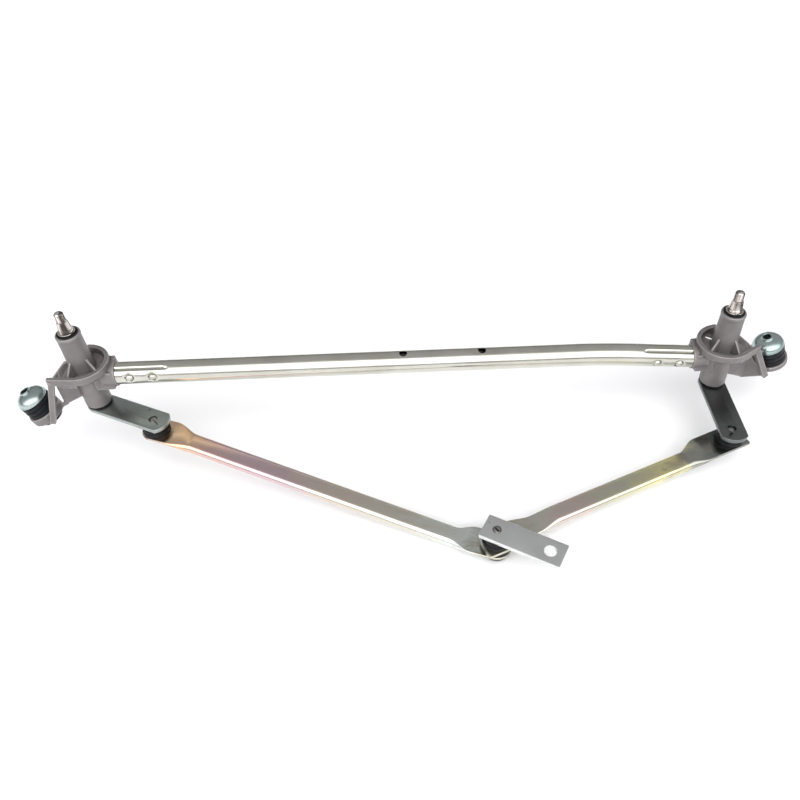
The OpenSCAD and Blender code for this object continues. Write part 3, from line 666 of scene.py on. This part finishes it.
def tube_mark(x, angle):
    """Depth pressed into the tube: a crimp groove and two staked dimples at each end."""
    depth = 0.0
    ends = ((x - TUBE_START.x, STAKE_ANGLE["left"]), (TUBE_END.x - x, STAKE_ANGLE["right"]))
    for at, stake_angle in ends:
        if at > MARKED:
            continue
        fade = min(1.0, max(0.0, (GROOVE_END - at) / GROOVE_FADE))
        off = TUBE_R * abs(angle - GROOVE_ANGLE)
        if off < GROOVE_HALF:
            depth += GROOVE_DEPTH * fade * (0.5 + 0.5 * math.cos(math.pi * off / GROOVE_HALF))
        elif off < 2 * GROOVE_HALF:
            depth -= GROOVE_LIP * fade * math.sin(math.pi * (off - GROOVE_HALF) / GROOVE_HALF)
        for stake in STAKES:
            d = math.hypot(at - stake, TUBE_R * (angle - stake_angle))
            if d < STAKE_REACH:
                depth += STAKE_DEPTH * math.exp(-((d - STAKE_R) / STAKE_WIDTH) ** 2)
                depth -= BUTTON_HEIGHT * math.exp(-(d / BUTTON_WIDTH) ** 2)
    return depth


def tube_ring(x, radius):
    """Ring round the centre line at x, whose radius is a function of x and the angle from the top."""
    z, slope = tube_centre(x)
    tilt = math.atan(slope)
    centre = Vector((x, TUBE_START.y, z))
    normal = Vector((-math.sin(tilt), 0, math.cos(tilt)))
    ring = []
    for k in range(TUBE_COUNT):
        a = 2 * math.pi * k / TUBE_COUNT - math.pi
        r = radius(x, a)
        ring.append(tuple(centre + normal * r * math.cos(a) + Vector((0, -1, 0)) * r * math.sin(a)))
    return ring


def tube_stations(holes):
    """Places along the tube, closer together at its pressed ends and round the holes."""
    fine = [FINE_STEP * k for k in range(FINE_COUNT)]
    plain = TUBE_LENGTH - 2 * MARKED
    places = fine + [MARKED + k * plain / PLAIN_COUNT for k in range(PLAIN_COUNT + 1)]
    places += [TUBE_LENGTH - f for f in reversed(fine)]
    for hole in holes:
        at = hole.x - TUBE_START.x
        places = [s for s in places if abs(TUBE_START.x + s - hole.x) > HOLE_MARGIN]
        places += [at - HOLE_MARGIN + HOLE_STEP * k for k in range(int(2 * HOLE_MARGIN / HOLE_STEP) + 1)]
    return sorted(places)


def tube():
    """The tube with its marks and bracket holes, and a note of its inside for the material's painted shade."""
    middle = mount("bracket_holes")
    dims = MOUNTS["bracket_holes"]["dims"]
    holes = [middle + Vector((sx * dims["spacing_x_mm"] / 2, 0, 0)) for sx in (-1, 1)]
    start = TUBE_START.x
    outer = [tube_ring(start + s, lambda x, a: TUBE_R - tube_mark(x, a)) for s in tube_stations(holes)]
    inner = [tube_ring(start + TUBE_LENGTH * k / INNER_COUNT, lambda x, a: TUBE_BORE)
             for k in range(INNER_COUNT + 1)]
    verts, faces = skin(outer + list(reversed(inner)), True)
    obj = make("frame_pipe", verts, faces, Matrix(), "frame", "tube_zinc", ["frame_tube"])
    cut(obj, [(*drill(dims["hole_r_mm"], -30, 25), Matrix.Translation(hole)) for hole in holes])
    # Marks the inner surface, which the material paints nearly black as shade
    shade = obj.data.attributes.new("inside", "FLOAT", "POINT")
    for i, vert in enumerate(obj.data.vertices):
        x, y, z = vert.co / MM
        radius = math.hypot(y - TUBE_START.y, z - tube_centre(x)[0])
        shade.data[i].value = float(radius < TUBE_BORE + INSIDE_MARGIN)


# Spindles, levers and their small parts, with heights from the boss's foot

SHAFT_COUNT = 96
SHAFT_ROWS = [(4.6, -7.0), (5.6, -6.4), (5.9, -5.85), (5.0, -5.75), (5.0, -1.85), (6.0, -1.8),
              (6.0, 80.5), (5.5, 80.6), (5.5, 81.6), (6.0, 81.7), (6.0, 83.1), (5.6, 83.6)]
SHAFT_TIP = [(3.7, 99.0), (3.3, 99.8), (2.5, 100.3), (1.3, 100.5)]
KNURL_STEPS, KNURL_LOW, KNURL_HEIGHT = 12, 83.7, 8.2
KNURL_FOOT_R, KNURL_TOP_R, KNURL_DEPTH = 5.45, 4.35, 0.22
KNURL_FADE, TOOTH_STEPS = 6, 3
THREAD_R, THREAD_DEPTH, PITCH = 3.96, 0.5, 1.25
THREAD_LOW, THREAD_LENGTH, TURN_STEPS, THREAD_FADE = 92.3, 6.4, 10, 6
LEVER_LENGTH = 60.0
LEVER_LOW, LEVER_TOP, LEVER_EDGE, LEVER_NECK_TOP = -5.8, -1.8, 0.7, -5.9
LEVER_HALF, LEVER_TIP = 11.3, 14.5
RIVET_R = 3.7
RIVET_SINK = {"left": 0.5, "right": 1.9}
SLIT_LOW = -5.5
SLIT_SIZE = {"left": (9.0, 1.5), "right": (5.6, 2.2)}
SLIT_PLACE = {"left": Matrix.Translation((4.3, -2.2, 0)) @ turned(-27),
              "right": Matrix.Translation((7.6, -3.3, 0)) @ turned(-38)}
DOT_PLACE, DOT_R, DOT_LOW = (49.7, 8.2, 0), 0.95, -4.6
NECK_R = 3.6
LEVER_BALL_R, LEVER_BALL_Z = 6.5, -14.3
STUD_SHARP = 45
CLIP_COUNT, CLIP_START, CLIP_END = 90, 2, 86
WASHER_CORNERS = [(6.05, -1.75, 0), (11.1, -1.75, 0.4), (11.1, -0.35, 0.4), (6.05, -0.35, 0)]
CLIP_CORNERS = [(5.55, 80.62, 0), (7.2, 80.62, 0.4), (7.2, 81.55, 0.4), (5.55, 81.55, 0)]
SEAL_CORNERS = [(6.08, 76.05, 0), (7.75, 76.05, 0), (7.75, 79.1, 0), (8.9, 79.05, 0.3), (8.6, 80.1, 0.5),
                (6.6, 80.25, 0.5), (6.08, 79.2, 0.2)]


def knurl_ring(t):
    """Ring of the toothed cone, at a share t of its height."""
    fade = min(1.0, KNURL_FADE * t, KNURL_FADE * (1 - t))
    middle = KNURL_FOOT_R + (KNURL_TOP_R - KNURL_FOOT_R) * t
    ring = []
    for k in range(SHAFT_COUNT):
        a = 2 * math.pi * k / SHAFT_COUNT
        r = middle + KNURL_DEPTH * fade * math.cos(2 * math.pi * k / TOOTH_STEPS)
        ring.append((r * math.cos(a), r * math.sin(a), KNURL_LOW + KNURL_HEIGHT * t))
    return ring


def thread_ring(z, fade):
    """Ring of the thread at a height, whose groove fades out at both ends."""
    ring = []
    for k in range(SHAFT_COUNT):
        a = 2 * math.pi * k / SHAFT_COUNT
        phase = (z / PITCH - k / SHAFT_COUNT) % 1.0
        r = THREAD_R - THREAD_DEPTH * fade * (1 - abs(2 * phase - 1))
        ring.append((r * math.cos(a), r * math.sin(a), z))
    return ring


def threaded_spindle(side):
    """Shaft with its knurled cone and rolled thread."""
    rings = [raised(circle(r, SHAFT_COUNT), z) for r, z in SHAFT_ROWS]
    rings += [knurl_ring(i / KNURL_STEPS) for i in range(KNURL_STEPS + 1)]
    steps = int(THREAD_LENGTH / PITCH * TURN_STEPS)
    for i in range(steps + 1):
        fade = min(1.0, i / THREAD_FADE, (steps - i) / THREAD_FADE)
        rings.append(thread_ring(THREAD_LOW + THREAD_LENGTH * i / steps, fade))
    rings += [raised(circle(r, SHAFT_COUNT), z) for r, z in SHAFT_TIP]
    make(side + "_shaft", *loft(rings), LEVER_FRAME[side], side + "_spindle_set", "spindle_steel",
         [side + "_spindle"], 50)


def lever_slit(side):
    return slit(*SLIT_SIZE[side], SLIT_LOW, 0)


def lever_plate(side):
    """Lever with a round foot, a flatter tip, the rivet's hole and its slit, and a dot on the left one."""
    outline = []
    for k in range(25):
        a = math.pi / 2 + math.pi * k / 24
        outline.append((LEVER_HALF * math.cos(a), LEVER_HALF * math.sin(a)))
    limit = math.asin(LEVER_HALF / LEVER_TIP)
    for k in range(17):
        a = -limit + 2 * limit * k / 16
        outline.append((LEVER_LENGTH + LEVER_TIP * math.cos(a), LEVER_TIP * math.sin(a)))
    here = LEVER_FRAME[side]
    obj = make(side + "_lever_plate", *plate(outline, LEVER_LOW, LEVER_TOP, LEVER_EDGE), here,
               side + "_spindle_set", "lever_zinc", [side + "_lever"])
    end = here @ Matrix.Translation((LEVER_LENGTH, 0, 0))
    tools = [(*drill(RIVET_R, -9, 0), end), (*lever_slit(side), end @ SLIT_PLACE[side])]
    if side == "left":
        tools.append((*drill(DOT_R, DOT_LOW, 0, 16), here @ Matrix.Translation(DOT_PLACE)))
    cut(obj, tools)


def rivet_head(top):
    """Outline of a stud's end that stands in its hole with a narrow groove round it."""
    return [(RIVET_R - 0.02, top - 2.2), (RIVET_R - 0.7, top - 2.0), (RIVET_R - 0.7, top - 0.3),
            (RIVET_R - 1.0, top), (ON_AXIS, top + 0.1)]


def ball_outline(radius, centre, top):
    """Outline of a ball with a neck up to a plate, from its lowest point."""
    angles = [math.pi * k / 24 for k in range(1, 25)]
    out = [(radius * math.sin(a), centre - radius * math.cos(a)) for a in angles
           if not (a > math.pi / 2 and radius * math.sin(a) < NECK_R)]
    return [(ON_AXIS, centre - radius)] + out + [(NECK_R, top)]


def lever_stud(side):
    """Ball stud riveted into a lever's end, cut by the lever's slit."""
    profile = ball_outline(LEVER_BALL_R, LEVER_BALL_Z, LEVER_NECK_TOP)
    profile += rivet_head(LEVER_TOP - RIVET_SINK[side])
    end = LEVER_FRAME[side] @ Matrix.Translation((LEVER_LENGTH, 0, 0))
    obj = make(side + "_stud", *lathe(profile), end, side + "_spindle_set", "stud_steel",
               [side + "_ball_stud"], STUD_SHARP)
    cut(obj, [(*lever_slit(side), end @ SLIT_PLACE[side])], STUD_SHARP)


def small_rings(side):
    """Washer under the boss, open retaining ring above it and the seal in its mouth."""
    here = LEVER_FRAME[side]
    moving = side + "_spindle_set"
    make(side + "_washer", *lathe(fillet(WASHER_CORNERS)), here, moving, "washer_black",
         [side + "_thrust_washer"])
    clip = fillet(CLIP_CORNERS)
    n = len(clip)
    verts, faces = lathe(clip, CLIP_COUNT)
    keep = [f for f in faces if CLIP_START <= min(f) // n < CLIP_END and max(f) // n <= CLIP_END]
    keep += [tuple(CLIP_START * n + i for i in range(n)), tuple(CLIP_END * n + i for i in reversed(range(n)))]
    make(side + "_clip", verts, keep, here, moving, "clip_steel", [side + "_circlip"])
    make(side + "_seal", *lathe(fillet(SEAL_CORNERS)), placed(BOSS[side]), "frame", "seal_black",
         [side + "_seal_ring"])


# Push rods: flattened tubes with a pressed plate at each end. Places count from the outer ball, and those
# in the last pair from the crank's stud back; values run from the first plate over the rod to the last.

ROD_END = 13.25
BEYOND = 20
ROD_HEIGHT = 10
ROD_WIDTHS = (26.5, 18.5, 18.5, 26.5)
ROD_HEIGHTS = (2.5, ROD_HEIGHT, ROD_HEIGHT, 2.5)
ROD_CORNERS = (1.2, 4.9, 4.9, 1.2)
ROD_LEVELS = {"left": (-15.75, -23, -61.5, -58.75), "right": (-DROP - 15.75, -DROP - 23, -DROP - 23, -51.25)}
WIDTH_PLACES = {"left": (14, 38, 37, 19), "right": (29, 45, 36, 14)}
HEIGHT_PLACES = {"left": (15, 36, 36, 20), "right": (27, 45, 58, 36)}
LEVEL_PLACES = {"left": (14, 36, 36, 20), "right": (27, 45, 58, 36)}
STATION_PLACES = {"left": (12, 40, 40, 17), "right": (24, 48, 60, 12)}
STATION_COUNTS = {"left": (4, 22, 40, 22, 6), "right": (6, 22, 24, 36, 4)}
PLATE_ROUNDS = {"left": (13.2, 13.2, 13.2, 13.2), "right": (1.0, 1.0, 12.0, 2.5)}


def section(width, height, corner, steps=8):
    """Rounded rectangle across Y and Z, anticlockwise seen from +X."""
    corner = min(corner, 0.499 * width, 0.499 * height)
    y, z = width / 2 - corner, height / 2 - corner
    out = []
    for cy, cz, start in ((1, 1, 0), (-1, 1, 90), (-1, -1, 180), (1, -1, 270)):
        for k in range(steps + 1):
            a = math.radians(start + 90 * k / steps)
            out.append((cy * y + corner * math.cos(a), cz * z + corner * math.sin(a)))
    return out


def smooth(t):
    t = min(1.0, max(0.0, t))
    return t * t * (3 - 2 * t)


def straight(t):
    return t


def along(stops, x, ease=smooth):
    """Value at x of a list of (x, value) stops, joined by soft steps or by straight lines."""
    for (xa, a), (xb, b) in zip(stops, stops[1:]):
        if x <= xb:
            return a + (b - a) * ease((x - xa) / (xb - xa))
    return stops[-1][1]


def rod_stops(length, places, values):
    """Stops along a rod for its four values, held level beyond both ends."""
    first, second, third, fourth = places
    ends = (-BEYOND, first, second, length - third, length - fourth, length + BEYOND)
    return list(zip(ends, (values[0], *values, values[-1])))


def rod_stations(side):
    """Places along a rod, closer together where its section changes."""
    length = ROD_LENGTH[side]
    first, second, third, fourth = STATION_PLACES[side]
    ends = (0, first, second, length - third, length - fourth, length)
    out = [-ROD_END + ROD_END * k / 13 for k in range(14)]
    for a, b, n in zip(ends, ends[1:], STATION_COUNTS[side]):
        out += [a + (b - a) * k / n for k in range(n + 1)]
    out += [length + ROD_END * k / 14 for k in range(15)]
    return sorted(set(round(x, 3) for x in out if -ROD_END <= x <= length + ROD_END))


def corner_cut(radius, from_end):
    """How far a plate's side draws in near an end with a rounded corner."""
    if from_end >= radius:
        return 0.0
    return radius - math.sqrt(max(0.0, radius ** 2 - (radius - from_end) ** 2))


def push_rod(side):
    """Loft of a rod; its plates' corners are rounded behind and in front at the start, then at the end."""
    length = ROD_LENGTH[side]
    widths = rod_stops(length, WIDTH_PLACES[side], ROD_WIDTHS)
    heights = rod_stops(length, HEIGHT_PLACES[side], ROD_HEIGHTS)
    levels = rod_stops(length, LEVEL_PLACES[side], ROD_LEVELS[side])
    corners = rod_stops(length, LEVEL_PLACES[side], ROD_CORNERS)
    rounds = PLATE_ROUNDS[side]
    rings = []
    for x in rod_stations(side):
        start, end = x + ROD_END, length + ROD_END - x
        behind = corner_cut(rounds[0], start) + corner_cut(rounds[2], end)
        front = corner_cut(rounds[1], start) + corner_cut(rounds[3], end)
        width = max(0.6, along(widths, x) - behind - front)
        height = along(heights, x)
        z = along(levels, x, straight if height > ROD_HEIGHT - 0.1 else smooth)
        y = (behind - front) / 2
        rings.append([(x, y + dy, z + dz) for dy, dz in section(width, height, along(corners, x))])
    make(side + "_push_rod", *loft(rings), ROD_FRAME[side], side + "_rod_set", "rod_passivate",
         [side + "_rod"], 40)


def sockets():
    """Black cups on the balls; the left rod's inner one is wide, as the opened pivot needs."""
    for side in SIDES:
        base = -17.0 - (DROP if side == "right" else 0)
        outline = fillet([
            (4.9, base - 2.9, 0), (9.2, base - 2.9, 1.0), (9.2, base + 2.6, 0), (11.9, base + 2.6, 0.5),
            (11.9, base + 5.2, 0.7), (10.9, base + 5.7, 0.3), (11.2, base + 8.9, 1.0), (6.4, base + 8.9, 0.6),
            (5.6, base + 5.0, 0)])
        make(side + "_outer_cup", *lathe(outline), ROD_FRAME[side], side + "_rod_set", "socket_plastic",
             [side + "_rod_outer_socket"])
    inner = {
        "right": [(4.9, -52.4, 0), (9.2, -52.4, 0.4), (9.2, -49.9, 0), (11.9, -49.9, 0.5), (11.9, -46.6, 0.7),
                  (10.8, -46.0, 0.3), (11.0, -41.1, 1.0), (6.4, -41.1, 0.6), (6.0, -46.0, 0)],
        "left": [(ON_AXIS, -64.75, 0), (11.0, -64.75, 1.0), (11.05, -57.6, 0), (12.25, -57.5, 0.3),
                 (12.2, -53.25, 0.6), (9.95, -53.25, 0.4), (9.95, -63.55, 0), (ON_AXIS, -63.55, 0)]}
    for side, corners in inner.items():
        end = ROD_FRAME[side] @ Matrix.Translation((ROD_LENGTH[side], 0, 0))
        make(side + "_inner_cup", *lathe(fillet(corners)), end, side + "_rod_set", "socket_plastic",
             [side + "_rod_inner_socket"])


# Motor crank

CRANK_LOW, CRANK_TOP, CRANK_EDGE = -39.5, -35.5, 0.45
CRANK_OVER, CRANK_HALF, CRANK_CORNER = 11.4, 11.2, 1.0
SHAFT_HOLE_R = 5.1
DASH_PLACE = Matrix.Translation((-7.7, 2.7, 0)) @ turned(-40)
DASH_LENGTH, DASH_WIDTH, DASH_LOW = 3.8, 1.2, -38.6
RIVET_SLOT_LENGTH, RIVET_SLOT_WIDTH, RIVET_SLOT_LOW = 5.0, 1.6, -39.0
CUT_LOW, CUT_TOP = -45, -30
LOWER_BALL_R, LOWER_BALL_Z, LOWER_NECK_TOP = 5.0, -58.0, -51.5
UPPER_BALL_R, UPPER_BALL_Z, UPPER_NECK_TOP = 6.0, -47.0, -39.6


def crank():
    """Square-ended plate with the shaft's hole and a dash, and its double ball stud."""
    near, far = -CRANK_OVER, CRANK_LENGTH + CRANK_OVER
    corners = [(near, -CRANK_HALF), (far, -CRANK_HALF), (far, CRANK_HALF), (near, CRANK_HALF)]
    outline = fillet([(x, y, CRANK_CORNER) for x, y in corners])
    obj = make("crank_plate", *plate(outline, CRANK_LOW, CRANK_TOP, CRANK_EDGE), CRANK_FRAME, "crank_set",
               "crank_steel", ["motor_crank"])
    hole = CRANK_FRAME @ Matrix.Translation((CRANK_LENGTH, 0, 0))
    cut(obj, [(*drill(SHAFT_HOLE_R, CUT_LOW, CUT_TOP), hole),
              (*slit(DASH_LENGTH, DASH_WIDTH, DASH_LOW, CUT_TOP), CRANK_FRAME @ DASH_PLACE),
              (*drill(RIVET_R, CUT_LOW, CUT_TOP), CRANK_FRAME)])
    profile = ball_outline(LOWER_BALL_R, LOWER_BALL_Z, LOWER_NECK_TOP)
    upper = ball_outline(UPPER_BALL_R, UPPER_BALL_Z, UPPER_NECK_TOP)
    profile += [(r, z) for r, z in upper[1:] if r >= NECK_R]
    profile += rivet_head(CRANK_TOP - 0.1)
    stud = make("crank_stud", *lathe(profile), CRANK_FRAME, "crank_set", "stud_steel",
                ["crank_ball_stud"], STUD_SHARP)
    slot = slit(RIVET_SLOT_LENGTH, RIVET_SLOT_WIDTH, RIVET_SLOT_LOW, CUT_TOP)
    cut(stud, [(*slot, CRANK_FRAME @ turned(-25))], STUD_SHARP)


# Rubber mounts

MOUNT_COUNT = 96
RIBS = 3
RIB_R, RIB_GROOVE_R = 13.5, 12.4
SLEEVE_R, BOLT_R = 5.0, 3.25
CAP_R, DOME_R, DOME_LOW, DOME_HEIGHT = 13.5, 13.1, 1.6, 7.9


def rubber_mount(side):
    """Ribbed rubber held in the seat ring, and the cap with its sleeve."""
    here = mount_frame(side)
    top = RING_TOP[side]
    rise = -top / RIBS
    ribs = []
    for i in range(RIBS):
        low = top - i * top / RIBS
        ribs += [(RIB_R, low + 0.05, 0.6 if i else 0.3), (RIB_R, low + 0.7 * rise, 0.8),
                 (RIB_GROOVE_R, low + 0.77 * rise, 0.4), (RIB_GROOVE_R, low + 0.98 * rise, 0.4)]
    ribs[-1] = (RIB_GROOVE_R, -0.05, 0.3)
    lip = [(SLEEVE_R + 0.02, -25.5, 0), (10.0, -25.5, 0.6), (12.0, -21.1, 0.4), (11.0, -20.95, 0),
           (11.0, top - 0.05, 0)]
    outline = fillet(lip + ribs + [(SLEEVE_R + 0.02, -0.05, 0)])
    make(side + "_rubber", *lathe(outline, MOUNT_COUNT), here, "frame", "rubber_black", [side + "_grommet"])
    outline = fillet([(BOLT_R, -28, 0), (SLEEVE_R, -28, 0.3), (SLEEVE_R, 0.05, 0), (CAP_R, 0.02, 0.4),
                      (CAP_R, 1.5, 0.5)])
    for k in range(17):
        a = math.radians(4 + 4.0 * k)
        outline.append((DOME_R * math.cos(a), DOME_LOW + DOME_HEIGHT * math.sin(a)))
    outline += fillet([(5.0, 9.1, 0.2), (4.65, 9.4, 0.2), (4.6, 10.8, 0.5), (3.5, 11.0, 0.3),
                       (BOLT_R, 10.6, 0.1)])
    make(side + "_cap", *lathe(outline, MOUNT_COUNT), here, "frame", "cap_zinc", [side + "_mount_sleeve"], 30)


# The scene: floor, backdrop, light and camera. The stage's sizes are in metres.

STAGE_LOW = cad_box[0][2] - 0.002
STAGE_TONES = [(0.3, (0.93, 0.93, 0.94)), (0.7, (0.95, 0.95, 0.955))]
BACKDROP_R, BACKDROP_TOP, BACKDROP_COUNT = 5.6, 12.0, 96
SKY_SQUEEZE = (0.45, 1.0, 1.0)
SKY_AIM = (0.0, -0.433, 0.25)
SKY_STOPS = [(0.0, 0.34), (0.45, 0.42), (0.80, 0.46), (0.845, 0.55), (0.89, 2.2), (1.0, 2.4)]
SKY_BLUE = 1.01
HORIZON_LOW, HORIZON_TOP, HORIZON_STRENGTH = 0.16, 0.28, 0.1
SUNS = (("key", (24, 0, 20), 0.8, 50), ("fill", (28, 0, -60), 0.4, 70))
IMAGE_PX, FOCAL_PX, SENSOR = 800, 751.7755, 36
CAMERA_PLACE = Vector((328.431, -482.309, 453.646))
CAMERA_RIGHT = Vector((0.99762345, -0.04335542, -0.05355146))
CAMERA_DOWN = Vector((-0.06848826, -0.70899288, -0.70188208))
CAMERA_AHEAD = Vector((-0.00753721, 0.70388167, -0.71027726))


def stage():
    """Pale floor, and a pale round wall that neither lights the linkage nor shows in it."""
    bpy.ops.mesh.primitive_plane_add(size=12, location=(0.33, 0, STAGE_LOW))
    floor = bpy.context.object
    floor.name = "floor"
    m = Nodes("floor")
    m.set(Roughness=0.9, Specular_IOR_Level=0.1)
    m.colour(m.ramp(m.noise(3), STAGE_TONES))
    floor.data.materials.append(m.material)

    ring = circle(BACKDROP_R, BACKDROP_COUNT)
    verts, faces = skin([raised(ring, STAGE_LOW), raised(ring, BACKDROP_TOP)], False)
    mesh = bpy.data.meshes.new("backdrop")
    mesh.from_pydata(verts, [], faces)
    backdrop = bpy.data.objects.new("backdrop", mesh)
    bpy.context.scene.collection.objects.link(backdrop)
    m = Nodes("backdrop")
    m.set(Roughness=0.9, Specular_IOR_Level=0.1, Emission_Strength=0.8)
    shade = m.ramp(m.noise(0.3), STAGE_TONES)
    m.colour(shade)
    m.link(shade, m.shader.inputs["Emission Color"])
    mesh.materials.append(m.material)
    backdrop.visible_diffuse = False
    backdrop.visible_glossy = False
    backdrop.visible_shadow = False


def sky():
    """Soft light: a bright panel in front and above, grey elsewhere, and dim at the horizon and below."""
    world = bpy.data.worlds.new("studio")
    bpy.context.scene.world = world
    world.use_nodes = True
    tree = world.node_tree
    back = tree.nodes["Background"]
    coords = tree.nodes.new("ShaderNodeTexCoord").outputs["Generated"]
    squeeze = tree.nodes.new("ShaderNodeVectorMath")
    squeeze.operation = "MULTIPLY"
    squeeze.inputs[1].default_value = SKY_SQUEEZE
    unit = tree.nodes.new("ShaderNodeVectorMath")
    unit.operation = "NORMALIZE"
    aim = tree.nodes.new("ShaderNodeVectorMath")
    aim.operation = "DOT_PRODUCT"
    aim.inputs[1].default_value = SKY_AIM
    shift = tree.nodes.new("ShaderNodeMath")
    shift.inputs[1].default_value = 0.5
    tree.links.new(coords, squeeze.inputs[0])
    tree.links.new(squeeze.outputs["Vector"], unit.inputs[0])
    tree.links.new(unit.outputs["Vector"], aim.inputs[0])
    tree.links.new(aim.outputs["Value"], shift.inputs[0])
    ramp = tree.nodes.new("ShaderNodeValToRGB")
    set_stops(ramp, [(at, (v, v, v * SKY_BLUE)) for at, v in SKY_STOPS])
    tree.links.new(shift.outputs["Value"], ramp.inputs["Fac"])
    tree.links.new(ramp.outputs["Color"], back.inputs["Color"])
    split = tree.nodes.new("ShaderNodeSeparateXYZ")
    skirt = tree.nodes.new("ShaderNodeMapRange")
    skirt.inputs["From Min"].default_value = HORIZON_LOW
    skirt.inputs["From Max"].default_value = HORIZON_TOP
    skirt.inputs["To Min"].default_value = HORIZON_STRENGTH
    tree.links.new(coords, split.inputs["Vector"])
    tree.links.new(split.outputs["Z"], skirt.inputs["Value"])
    tree.links.new(skirt.outputs["Result"], back.inputs["Strength"])


def suns():
    """Two wide suns that don't show in the metal."""
    for name, angles, strength, angle in SUNS:
        light = bpy.data.lights.new(name, "SUN")
        light.energy = strength
        light.angle = math.radians(angle)
        lamp = bpy.data.objects.new(name, light)
        lamp.rotation_euler = [math.radians(a) for a in angles]
        lamp.visible_glossy = False
        bpy.context.scene.collection.objects.link(lamp)


def photo_camera():
    """Camera fitted to the photograph, and plain display colours."""
    bpy.context.scene.view_settings.view_transform = "Standard"
    turn = Matrix((CAMERA_RIGHT, -CAMERA_DOWN, -CAMERA_AHEAD)).transposed().to_4x4()
    data = bpy.data.cameras.new("camera")
    data.sensor_width = SENSOR
    data.lens = SENSOR * FOCAL_PX / IMAGE_PX
    data.clip_start = 0.01
    camera = bpy.data.objects.new("camera", data)
    camera.matrix_world = Matrix.Translation(CAMERA_PLACE * MM) @ turn
    bpy.context.scene.collection.objects.link(camera)
    bpy.context.scene.camera = camera


tube()
for s in SIDES:
    casting(s)
    threaded_spindle(s)
    lever_plate(s)
    lever_stud(s)
    small_rings(s)
    rubber_mount(s)
for s in SIDES:
    push_rod(s)
sockets()
crank()
for name, node in frame["nodes"].items():
    slot = next(p["material_slot"] for p in RECORD["subparts"] if p["node"] == name)
    node.data.materials.clear()
    node.data.materials.append(MATERIALS[slot])
stage()
sky()
suns()
photo_camera()
